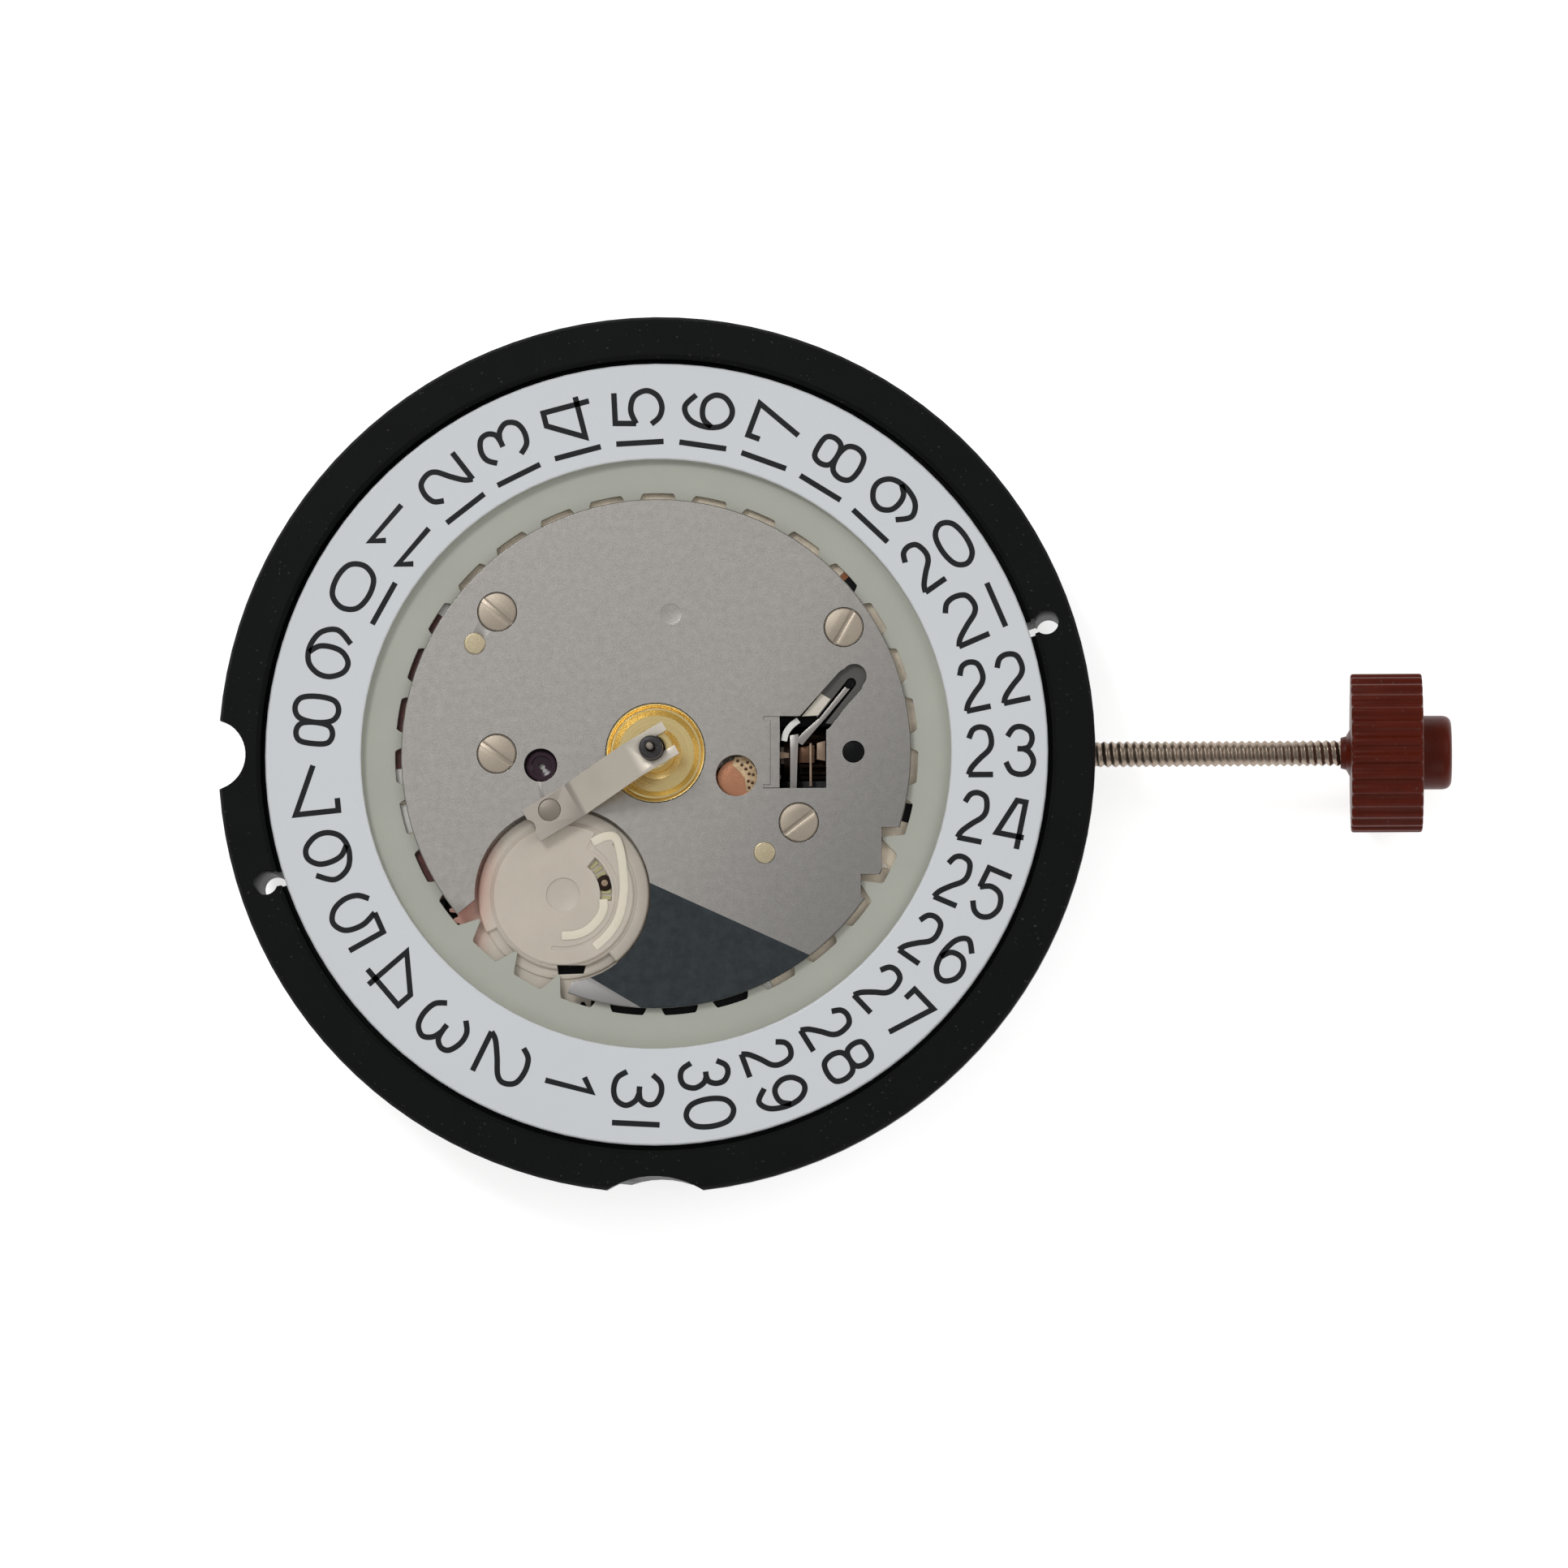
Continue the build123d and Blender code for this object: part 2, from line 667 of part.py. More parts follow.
with BuildPart() as main_plate:
    disc(origin, barrel_radius, 0, seat_z)
    disc(origin, seat_radius, seat_z - flange_thickness, seat_z)
    chamfer(main_plate.faces().sort_by(Axis.Z)[-1].edges(), flange_chamfer)
    disc(origin, recess_radius, ring_floor_z, seat_z + overrun, Mode.SUBTRACT)
    chamfer(main_plate.faces().sort_by(Axis.Z)[-1].edges().sort_by(SortBy.RADIUS)[0], recess_chamfer)
    disc(origin, deck_radius, ring_floor_z, plate_bottom_z)
    back_pockets()
    dial_pockets()
    disc((post_x, 0), post_radius, plate_bottom_z, plate_top_z)
    disc(slot_end, yoke_post_radius, ring_floor_z, yoke_z + yoke_thickness)
    disc(minute_centre, motion_stud_radius, motion_floor_z - seat_gap, hour_wheel_z + wheel_thickness)
    disc(date_centre, date_hub_radius, date_floor_z - seat_gap, date_post_top_z)
    disc(lever_pivot, lever_post_radius, lever_z, stem_z)
    rod(0, stem_z, stem_bearing_radius + running_gap, pinion_start + pinion_length, seat_radius + overrun,
        Mode.SUBTRACT)
    rod(0, stem_z, stem_pilot_radius + running_gap, pilot_hole_start, pinion_start, Mode.SUBTRACT)
    disc(origin, minute_pipe_radius + running_gap, train_roof_z - overrun, motion_floor_z + overrun,
         Mode.SUBTRACT)
    disc(jewel_centre, jewel_body_radius, train_roof_z - overrun, jewel_shoulder_z, Mode.SUBTRACT)
    disc(jewel_centre, jewel_radius, jewel_shoulder_z, plate_bottom_z + overrun, Mode.SUBTRACT)
    for bearing in (third_centre, rotor_centre):
        disc(bearing, pivot_radius + running_gap, train_roof_z - overrun, train_roof_z + pivot_length,
             Mode.SUBTRACT)
    for place in plate_screw_places:
        screw_hole(place, plate_top_z - plate_screw_length, plate_bottom_z + overrun)
    for place in pin_places:
        disc(place, pin_radius, plate_top_z - pin_length, plate_bottom_z + overrun, Mode.SUBTRACT)
    for place in bridge_screw_places:
        screw_hole(place, 0, screw_length)
    for place in cover_screw_places:
        screw_hole(place, 0, screw_length)
    screw_hole(strap_screw_place, 0, screw_length)
    for core_tip in (coil_start, coil_end):
        screw_hole(core_tip, stator_z, motor_screw_top_z)
    rim_cuts()
export(main_plate, "main_plate")


# Date ring, white printed band over a lower inner band with 31 teeth
def ring_tooth_points(middle):
    """Half of a V-shaped tooth and its mirror image, from the root to the tip and back."""
    shapes = (
        (ring_root_radius + ring_edge, ring_tooth_base_share),
        (ring_root_radius, ring_tooth_base_share),
        (ring_root_radius - ring_flare, ring_tooth_neck_share),
        (ring_tip_radius, ring_tooth_tip_share),
    )
    side = [polar(radius, middle - share * ring_pitch / 2) for radius, share in shapes]
    other = [polar(radius, middle + share * ring_pitch / 2) for radius, share in reversed(shapes)]
    return side + other


with BuildPart() as date_ring:
    with BuildSketch(Plane.XZ):
        with BuildLine():
            Polyline(
                (ring_root_radius, ring_bottom_z),
                (ring_step_radius, ring_bottom_z),
                (ring_step_radius + ring_band_thickness, ring_top_z - ring_band_thickness),
                (ring_outer_radius - ring_band_thickness, ring_top_z - ring_band_thickness),
                (ring_outer_radius - ring_band_thickness, ring_bottom_z),
                (ring_outer_radius, ring_bottom_z),
                (ring_outer_radius, ring_top_z),
                (ring_step_radius, ring_top_z),
                (ring_step_radius, ring_tooth_top_z),
                (ring_root_radius, ring_tooth_top_z),
                close=True,
            )
        make_face()
    revolve(axis=Axis.Z)
    with BuildSketch(Plane.XY.offset(ring_bottom_z)):
        for index in range(ring_tooth_count):
            with BuildLine():
                Polyline(*ring_tooth_points(ring_tooth_phase + index * ring_pitch), close=True)
            make_face()
    extrude(amount=ring_tooth_top_z - ring_bottom_z)
    upper_rim = date_ring.edges().filter_by(GeomType.CIRCLE).group_by(Axis.Z)[-1]
    chamfer(upper_rim, ring_edge)
export(date_ring, "date_ring")


# Calendar plate, thin steel, that holds the ring and the motion work down
with BuildPart() as retaining_plate:
    disc(origin, plate_radius, plate_bottom_z, plate_top_z)
    chamfer(retaining_plate.faces().sort_by(Axis.Z)[-1].edges(), plate_chamfer)
    low = plate_bottom_z - overrun
    high = plate_top_z + overrun
    disc(date_centre, date_window_radius, low, high, Mode.SUBTRACT)
    with BuildSketch(Plane.XY.offset(low)):
        with BuildLine():
            Polyline(
                polar(plate_radius + overrun, date_window_cut_from),
                polar(date_distance, date_window_cut_from),
                polar(date_distance, date_window_cut_to),
                polar(plate_radius + overrun, date_window_cut_to),
                close=True,
            )
        make_face()
    extrude(amount=high - low, mode=Mode.SUBTRACT)
    disc(keeper_rivet_place, lug_radius, plate_bottom_z, plate_top_z)
    disc(origin, hour_window_radius, low, high, Mode.SUBTRACT)
    disc(jewel_centre, jewel_window_radius, low, high, Mode.SUBTRACT)
    disc((copper_window_x, copper_window_y), copper_window_radius, low, high, Mode.SUBTRACT)
    disc((post_x, 0), post_radius + seat_gap, low, high, Mode.SUBTRACT)
    block(keyless_window_left, keyless_window_right, -keyless_window_half, keyless_window_half,
          low, high, Mode.SUBTRACT)
    bar(slot_end, yoke_corner, slot_width, low, high, Mode.SUBTRACT)
    block(jumper_notch_x, plate_radius + overrun, jumper_notch_step, jumper_notch_top, low, high,
          Mode.SUBTRACT)
    block(jumper_notch_low_x, plate_radius + overrun, jumper_notch_low, jumper_notch_step, low, high,
          Mode.SUBTRACT)
    for place in plate_screw_places:
        disc(place, screw_head_radius + seat_gap, plate_top_z + screw_head_stand - screw_head_thickness,
             high, Mode.SUBTRACT)
        screw_hole(place, low, high)
    for place in pin_places:
        disc(place, pin_radius, low, high, Mode.SUBTRACT)
    disc(keeper_rivet_place, keeper_rivet_radius, low, high, Mode.SUBTRACT)
    disc((dimple_x, dimple_y), dimple_radius, plate_top_z - dimple_depth, high, Mode.SUBTRACT)
    with BuildSketch(Plane.XZ.offset(keyless_window_half - tab_side_gap)):
        with BuildLine():
            Polyline(
                (keyless_window_left, plate_top_z),
                (keyless_window_left + tab_reach / 2, plate_top_z),
                (keyless_window_left + tab_reach, plate_bottom_z - tab_depth),
                (keyless_window_left + tab_reach / 2, plate_bottom_z - tab_depth),
                (keyless_window_left, plate_bottom_z),
                close=True,
            )
        make_face()
    extrude(amount=-2 * (keyless_window_half - tab_side_gap))
export(retaining_plate, "retaining_plate")


# Slotted screws, each one a chamfered head with its slot and a plain shank
def slotted_screws(places, slot_angles, seat, head_thickness, length):
    """Screws whose heads stand up from their seat, or down where the sizes are negative."""
    head_top = seat + head_thickness
    end = 0 if head_thickness < 0 else -1
    with BuildPart() as screws:
        for place in places:
            disc(place, screw_head_radius, seat, head_top)
        chamfer(screws.edges().filter_by(GeomType.CIRCLE).group_by(Axis.Z)[end], screw_chamfer)
        for place, slot_turn in zip(places, slot_angles):
            disc(place, screw_shank_radius - thread_gap, seat, head_top - length)
            slot_floor = head_top - screw_slot_depth * head_thickness / abs(head_thickness)
            with BuildSketch(Plane.XY.offset(slot_floor)):
                with Locations(Location(place + (0,), (0, 0, slot_turn))):
                    Rectangle(2 * screw_head_radius + overrun, screw_slot_width)
            extrude(amount=head_thickness, mode=Mode.SUBTRACT)
    return screws


plate_screw_seat = plate_top_z + screw_head_stand - screw_head_thickness
plate_screws = slotted_screws(
    plate_screw_places, plate_screw_slot_angles, plate_screw_seat, screw_head_thickness, plate_screw_length
)
export(plate_screws, "plate_screws")

bridge_screw_seat = bridge_z + screw_head_thickness
bridge_screws = slotted_screws(
    bridge_screw_places, bridge_screw_slot_angles, bridge_screw_seat, -screw_head_thickness, -screw_length
)
export(bridge_screws, "bridge_screws")

motor_screws = slotted_screws(
    (coil_start, coil_end), motor_screw_slot_angles, core_z, -screw_head_thickness,
    core_z - screw_head_thickness - motor_screw_top_z,
)
export(motor_screws, "motor_screws")

strap_screw = slotted_screws(
    (strap_screw_place,), (strap_screw_slot_angle,), low_head_thickness, -low_head_thickness, -screw_length
)
export(strap_screw, "strap_screw")

cover_screws = slotted_screws(
    cover_screw_places, cover_screw_slot_angles, cover_z, -low_head_thickness, -screw_length
)
export(cover_screws, "cover_screws")

with BuildPart() as locating_pins:
    for place in pin_places:
        disc(place, pin_radius, plate_top_z - pin_length, plate_top_z + pin_stand)
    fillet(locating_pins.edges().filter_by(GeomType.CIRCLE).group_by(Axis.Z)[-1], pin_stand - seat_gap)
export(locating_pins, "locating_pins")


# Keeper, a bent spring strip that presses the hour wheel down and is riveted to the plate
def keeper_point(reach, side):
    """Point of the keeper at a distance from the hands axis, along and across the strip."""
    return polar(side, keeper_angle + 90, polar(reach, keeper_angle))


with BuildPart() as hour_wheel_keeper:
    with BuildSketch(Plane.XY.offset(plate_top_z)):
        with BuildLine():
            Polyline(
                keeper_point(-keeper_rivet_reach - keeper_tail, -keeper_width / 2),
                keeper_point(keeper_fork_reach, -keeper_width / 2),
                keeper_point(keeper_fork_reach, keeper_width / 2),
                keeper_point(-keeper_rivet_reach - keeper_tail, keeper_width / 2),
                close=True,
            )
        make_face()
    extrude(amount=minute_pipe_z - plate_top_z)
    with BuildSketch(Plane(origin=keeper_point(0, -keeper_width) + (0,),
                           x_dir=keeper_point(1, 0) + (0,), z_dir=keeper_point(0, -1) + (0,))):
        with BuildLine():
            Polyline(
                (-keeper_rivet_reach - keeper_tail - overrun, plate_top_z),
                (keeper_flat - keeper_rivet_reach, plate_top_z),
                (-hour_pipe_radius - free_gap, keeper_top_z - keeper_thickness),
                (keeper_fork_reach + overrun, keeper_top_z - keeper_thickness),
                (keeper_fork_reach + overrun, keeper_top_z),
                (-hour_pipe_radius - free_gap, keeper_top_z),
                (keeper_flat - keeper_rivet_reach, plate_top_z + keeper_thickness),
                (-keeper_rivet_reach - keeper_tail - overrun, plate_top_z + keeper_thickness),
                close=True,
            )
        make_face()
    extrude(amount=-2 * keeper_width, mode=Mode.INTERSECT)
    disc(origin, minute_pipe_radius + running_gap, plate_top_z, minute_pipe_z, Mode.SUBTRACT)
    bar(origin, polar(keeper_fork_reach + overrun, keeper_angle), keeper_fork_slot, plate_top_z,
        minute_pipe_z, Mode.SUBTRACT)
    disc(keeper_rivet_place, keeper_rivet_radius, plate_top_z - overrun, plate_top_z + overrun,
         Mode.SUBTRACT)
export(hour_wheel_keeper, "hour_wheel_keeper")

with BuildPart() as keeper_rivet:
    disc(keeper_rivet_place, keeper_rivet_radius, plate_bottom_z, plate_top_z + keeper_thickness - rivet_sink)
export(keeper_rivet, "keeper_rivet")


# Tooth phases, chained so that each gear has a gap where its neighbour has a tooth
cannon_phase = 0
minute_phase = mesh_phase(minute_wheel_teeth, cannon_leaves, cannon_phase, minute_wheel_angle)
minute_pinion_phase = minute_phase
hour_phase = mesh_phase(hour_wheel_teeth, minute_pinion_leaves, minute_pinion_phase, minute_wheel_angle + 180)
date_phase = mesh_phase(date_wheel_teeth, hour_wheel_teeth, hour_phase, date_wheel_angle)
centre_phase = 0
third_pinion_phase = mesh_phase(third_pinion_leaves, centre_wheel_teeth, centre_phase, third_angle)
third_phase = third_pinion_phase
seconds_pinion_phase = mesh_phase(seconds_pinion_leaves, third_wheel_teeth, third_phase, third_angle + 180)
seconds_phase = seconds_pinion_phase
intermediate_pinion_phase = mesh_phase(intermediate_leaves, seconds_wheel_teeth, seconds_phase, jewel_angle)
intermediate_phase = intermediate_pinion_phase
rotor_phase = mesh_phase(rotor_leaves, intermediate_teeth, intermediate_phase, rotor_angle)


# Motion work under the hands
with BuildPart() as cannon_pinion:
    gear(cannon_leaves, motion_module, cannon_phase, origin, motion_floor_z + end_gap, cannon_leaf_top)
    disc(origin, minute_pipe_radius, centre_wheel_z, minute_seat_z)
    disc(origin, minute_seat_radius, minute_seat_z, minute_pipe_z)
    chamfer(cannon_pinion.edges().filter_by(GeomType.CIRCLE).group_by(Axis.Z)[-1], pipe_chamfer)
    disc(origin, seconds_seat_radius + running_gap, centre_wheel_z - overrun, minute_pipe_z + overrun,
         Mode.SUBTRACT)
export(cannon_pinion, "cannon_pinion")

with BuildPart() as centre_wheel:
    gear(centre_wheel_teeth, centre_module, centre_phase, origin, centre_wheel_z,
         centre_wheel_z + train_thickness)
    spokes(origin, centre_tip - wheel_rim, minute_pipe_radius + spoke_width, centre_wheel_z,
           centre_wheel_z + train_thickness)
    disc(origin, minute_pipe_radius, centre_wheel_z - overrun, centre_wheel_z + overrun, Mode.SUBTRACT)
export(centre_wheel, "centre_wheel")

with BuildPart() as minute_wheel:
    gear(minute_wheel_teeth, motion_module, minute_phase, minute_centre, minute_wheel_z,
         minute_wheel_z + wheel_thickness)
    gear(minute_pinion_leaves, motion_module, minute_pinion_phase, minute_centre,
         minute_wheel_z + wheel_thickness, minute_pinion_top)
    disc(minute_centre, motion_stud_radius + running_gap, minute_wheel_z - overrun,
         minute_pinion_top + overrun, Mode.SUBTRACT)
export(minute_wheel, "minute_wheel")

with BuildPart() as hour_wheel:
    gear(hour_wheel_teeth, motion_module, hour_phase, origin, hour_wheel_z, hour_wheel_z + wheel_thickness)
    with BuildSketch(Plane.XZ):
        with BuildLine():
            Polyline(
                (0, hour_wheel_z + wheel_thickness / 2),
                (hour_rim_radius - hour_rim_width, hour_wheel_z + wheel_thickness / 2),
                (hour_rim_radius, hour_wheel_z + wheel_thickness / 2),
                (hour_rim_radius, hour_dish_z - hour_rim_width / 2),
                (hour_rim_radius - hour_rim_width / 2, hour_dish_z),
                (hour_rim_radius - hour_rim_width, hour_dish_z),
                (hour_rim_radius - 2 * hour_rim_width, hour_dish_z - hour_dish_depth),
                (hour_pipe_radius + hour_rim_width, hour_dish_z - hour_dish_depth),
                (hour_pipe_radius, hour_dish_z),
                (hour_pipe_radius, hour_pipe_z),
                (0, hour_pipe_z),
                close=True,
            )
        make_face()
    revolve(axis=Axis.Z)
    chamfer(hour_wheel.edges().filter_by(GeomType.CIRCLE).group_by(Axis.Z)[-1], pipe_chamfer)
    disc(origin, hour_pipe_bore, hour_wheel_z - overrun, hour_pipe_z + overrun, Mode.SUBTRACT)
export(hour_wheel, "hour_wheel")


# Date driving wheel, moulded, with a sprung finger cut out of its upper disc
with BuildPart() as date_driving_wheel:
    gear(date_wheel_teeth, motion_module, date_phase, date_centre, hour_wheel_z,
         hour_wheel_z + wheel_thickness)
    disc(date_centre, date_disc_radius, hour_wheel_z, date_disc_top_z)
    disc(date_centre, date_boss_radius, date_disc_top_z, date_boss_top_z)
    chamfer(
        date_driving_wheel.edges().filter_by(GeomType.CIRCLE).group_by(Axis.Z)[-1], date_boss_chamfer
    )
    low = hour_wheel_z - overrun
    high = date_boss_top_z + overrun
    for radius in (date_arm_inner, date_arm_outer):
        arc_slot(date_centre, radius, date_arm_slot, date_arm_from, date_arm_to, date_disc_top_z, high,
                 Mode.SUBTRACT)
    arc_slot(date_centre, (date_arm_inner + date_arm_outer) / 2, date_arm_outer - date_arm_inner,
             date_arm_from, date_arm_to, date_disc_top_z, date_disc_top_z + end_gap, Mode.SUBTRACT)
    bar(polar(date_arm_inner, date_arm_to, date_centre), polar(date_arm_outer, date_arm_to, date_centre),
        date_end_slot, date_disc_top_z, high, Mode.SUBTRACT)
    finger_angle = date_arm_to - date_finger_turn
    bar(polar(date_finger_from, finger_angle, date_centre),
        polar(date_finger_reach - date_finger_width / 2, finger_angle, date_centre),
        date_finger_width, date_disc_top_z + end_gap, date_boss_top_z)
    disc(date_centre, date_hub_radius + running_gap, low, date_post_top_z + end_gap, Mode.SUBTRACT)
export(date_driving_wheel, "date_driving_wheel")


# Going train between the rotor and the minute pipe
with BuildPart() as seconds_arbor:
    disc(origin, arbor_radius, bridge_top_z + end_gap, seconds_wheel_z)
    gear(seconds_pinion_leaves, train_module, seconds_pinion_phase, origin, seconds_wheel_z,
         seconds_pinion_top)
    disc(origin, seconds_radius, seconds_pivot_z, seconds_seat_z)
    disc(origin, seconds_seat_radius, seconds_seat_z, seconds_tip_z)
    chamfer(seconds_arbor.edges().filter_by(GeomType.CIRCLE).group_by(Axis.Z)[-1], tip_chamfer)
export(seconds_arbor, "seconds_arbor")

with BuildPart() as seconds_wheel:
    gear(seconds_wheel_teeth, seconds_module, seconds_phase, origin, seconds_wheel_z - train_thickness,
         seconds_wheel_z)
    spokes(origin, seconds_tip - wheel_rim - seconds_module, arbor_radius + spoke_width,
           seconds_wheel_z - train_thickness, seconds_wheel_z)
    disc(origin, arbor_radius, 0, seconds_wheel_z, Mode.SUBTRACT)
export(seconds_wheel, "seconds_wheel")

with BuildPart() as third_pinion:
    disc(third_centre, arbor_radius, bridge_top_z + end_gap, third_wheel_z)
    gear(third_pinion_leaves, centre_module, third_pinion_phase, third_centre, third_wheel_z,
         third_pinion_top)
    disc(third_centre, pivot_radius, seconds_pivot_z, train_roof_z + pivot_length - end_gap)
export(third_pinion, "third_pinion")

with BuildPart() as third_wheel:
    gear(third_wheel_teeth, train_module, third_phase, third_centre, third_wheel_z - train_thickness,
         third_wheel_z)
    spokes(third_centre, third_tip - wheel_rim, arbor_radius + spoke_width,
           third_wheel_z - train_thickness, third_wheel_z)
    disc(third_centre, arbor_radius, 0, third_wheel_z, Mode.SUBTRACT)
export(third_wheel, "third_wheel")

with BuildPart() as intermediate_pinion:
    gear(intermediate_leaves, seconds_module, intermediate_pinion_phase, jewel_centre,
         bridge_top_z + end_gap, intermediate_wheel_z)
    disc(jewel_centre, arbor_radius, intermediate_wheel_z, train_roof_z - end_gap)
    disc(jewel_centre, pivot_radius, seconds_pivot_z, jewel_pivot_top)
export(intermediate_pinion, "intermediate_pinion")

with BuildPart() as intermediate_wheel:
    gear(intermediate_teeth, rotor_module, intermediate_phase, jewel_centre, intermediate_wheel_z,
         intermediate_wheel_z + train_thickness)
    spokes(jewel_centre, intermediate_tip - wheel_rim, arbor_radius + spoke_width, intermediate_wheel_z,
           intermediate_wheel_z + train_thickness)
    disc(jewel_centre, arbor_radius, 0, train_roof_z, Mode.SUBTRACT)
export(intermediate_wheel, "intermediate_wheel")

with BuildPart() as rotor_pinion:
    gear(rotor_leaves, rotor_module, rotor_phase, rotor_centre, rotor_pinion_z, magnet_z)
    disc(rotor_centre, arbor_radius, magnet_z, magnet_z + magnet_thickness)
    disc(rotor_centre, pivot_radius, seconds_pivot_z, train_roof_z + pivot_length - end_gap)
export(rotor_pinion, "rotor_pinion")

with BuildPart() as rotor_magnet:
    disc(rotor_centre, magnet_radius, magnet_z, magnet_z + magnet_thickness)
    disc(rotor_centre, arbor_radius, magnet_z - overrun, magnet_z + overrun, Mode.SUBTRACT)
export(rotor_magnet, "rotor_magnet")

with BuildPart() as dial_jewel:
    disc(jewel_centre, jewel_body_radius, train_roof_z, jewel_shoulder_z)
    disc(jewel_centre, jewel_radius, jewel_shoulder_z, jewel_top_z)
    disc(jewel_centre, jewel_sink_radius, jewel_sink_z, jewel_top_z, Mode.SUBTRACT)
    disc(jewel_centre, jewel_hole_radius, train_roof_z, jewel_top_z, Mode.SUBTRACT)
export(dial_jewel, "dial_jewel")

with BuildPart() as bridge_jewels:
    for place in (third_centre, jewel_centre, rotor_centre):
        disc(place, jewel_radius, bridge_z, bridge_top_z)
        disc(place, jewel_sink_radius, bridge_z, jewel_cup, Mode.SUBTRACT)
        disc(place, jewel_hole_radius, bridge_z, bridge_top_z, Mode.SUBTRACT)
export(bridge_jewels, "bridge_jewels")


# Stepping motor: soft iron stator, core through the winding, magnet in the bore
with BuildPart() as stator:
    with BuildSketch(Plane.XY.offset(stator_z)):
        with Locations(rotor_centre):
            Circle(stator_ring)
        for start, end in stator_path:
            middle = ((start[0] + end[0]) / 2, (start[1] + end[1]) / 2)
            with Locations(Location(middle + (0,), (0, 0, direction(start, end)))):
                SlotCenterToCenter(distance(start, end), stator_width)
        with Locations(coil_start, coil_end):
            Circle(core_end_width / 2)
        with Locations(rotor_centre):
            Circle(stator_bore, mode=Mode.SUBTRACT)
        notch_turn = coil_angle + 90
        with Locations(polar(stator_bore, notch_turn, rotor_centre),
                       polar(stator_bore, notch_turn + 180, rotor_centre)):
            Circle(stator_notch_radius, mode=Mode.SUBTRACT)
        with Locations(coil_start, coil_end):
            Circle(screw_shank_radius, mode=Mode.SUBTRACT)
    extrude(amount=stator_thickness)
export(stator, "stator")

with BuildPart() as coil_core:
    with BuildSketch(Plane.XY.offset(core_z)):
        with Locations(Location(coil_centre + (0,), (0, 0, coil_angle))):
            Rectangle(core_length, core_width)
        with Locations(coil_start, coil_end):
            Circle(core_end_width / 2)
            Circle(screw_shank_radius, mode=Mode.SUBTRACT)
    extrude(amount=core_thickness)
export(coil_core, "coil_core")

winding_plane = Plane(origin=polar(-winding_length / 2, coil_angle, coil_centre) + (winding_middle_z,),
                      x_dir=polar(1, coil_angle + 90) + (0,), z_dir=polar(1, coil_angle) + (0,))
with BuildPart() as coil_winding:
    with BuildSketch(winding_plane):
        RectangleRounded(winding_width, winding_thickness, winding_corner)
        Rectangle(core_width, core_thickness, mode=Mode.SUBTRACT)
    extrude(amount=winding_length)
export(coil_winding, "coil_winding")


# Battery, with its can to the back and its cap to the dial
battery_top_z = battery_z + battery_height
battery_cap_z = battery_top_z - battery_cap_height
with BuildPart() as battery_can:
    disc(battery_centre, battery_radius, battery_z, battery_cap_z)
    fillet(battery_can.edges().filter_by(GeomType.CIRCLE), battery_fillet)
export(battery_can, "battery_can")

with BuildPart() as battery_gasket:
    disc(battery_centre, battery_cap_radius + battery_gasket_width, battery_cap_z,
         battery_cap_z + battery_cap_height / 2)
    disc(battery_centre, battery_cap_radius, battery_cap_z - overrun, battery_top_z + overrun, Mode.SUBTRACT)
export(battery_gasket, "battery_gasket")

with BuildPart() as battery_cap:
    disc(battery_centre, battery_cap_radius, battery_cap_z, battery_top_z)
    fillet(battery_cap.edges().filter_by(GeomType.CIRCLE).group_by(Axis.Z)[-1], battery_cap_height / 2)
export(battery_cap, "battery_cap")

with BuildPart() as battery_contact:
    contact_tip = polar(battery_cap_radius, battery_angle - 90, battery_centre)
    bar(battery_centre, contact_tip, contact_width, battery_top_z, battery_top_z + contact_thickness)
    bar(contact_tip, polar(battery_radius - contact_width / 2, battery_angle - 90, battery_centre),
        contact_width, battery_top_z, battery_roof_z)
export(battery_contact, "battery_contact")

with BuildPart() as battery_strap:
    bar(battery_centre, strap_screw_place, strap_width, strap_z, strap_z + strap_thickness)
    disc(strap_screw_place, strap_end_radius, strap_z, back_floor_z)
    disc(strap_screw_place, screw_head_radius + seat_gap, -overrun, low_head_thickness, Mode.SUBTRACT)
    disc(strap_screw_place, screw_shank_radius, strap_z, back_floor_z, Mode.SUBTRACT)
export(battery_strap, "battery_strap")


# Circuit board with its chip and the crystal in a can
with BuildPart() as circuit_board:
    board_sector(board_inner_radius, board_outer_radius, board_from, board_to, board_back_z,
                 board_back_z + board_thickness)
    fillet(circuit_board.edges().filter_by(Axis.Z).filter_by(GeomType.LINE), board_corner)
    bar(crystal_start, crystal_end, 2 * crystal_radius + 2 * free_gap, board_back_z,
        board_back_z + board_thickness, Mode.SUBTRACT)
export(circuit_board, "circuit_board")

with BuildPart() as chip:
    disc(chip_centre, chip_radius, board_back_z - chip_height, board_back_z)
    fillet(chip.edges().filter_by(GeomType.CIRCLE).group_by(Axis.Z)[0], chip_height / 2)
export(chip, "chip")

crystal_plane = Plane(origin=polar(-crystal_length / 2, crystal_angle + 90, crystal_centre) + (crystal_z,),
                      z_dir=polar(1, crystal_angle + 90) + (0,))
with BuildPart() as crystal:
    with BuildSketch(crystal_plane):
        Circle(crystal_radius)
    extrude(amount=crystal_length)
    fillet(crystal.edges().filter_by(GeomType.CIRCLE), crystal_fillet)
export(crystal, "crystal")


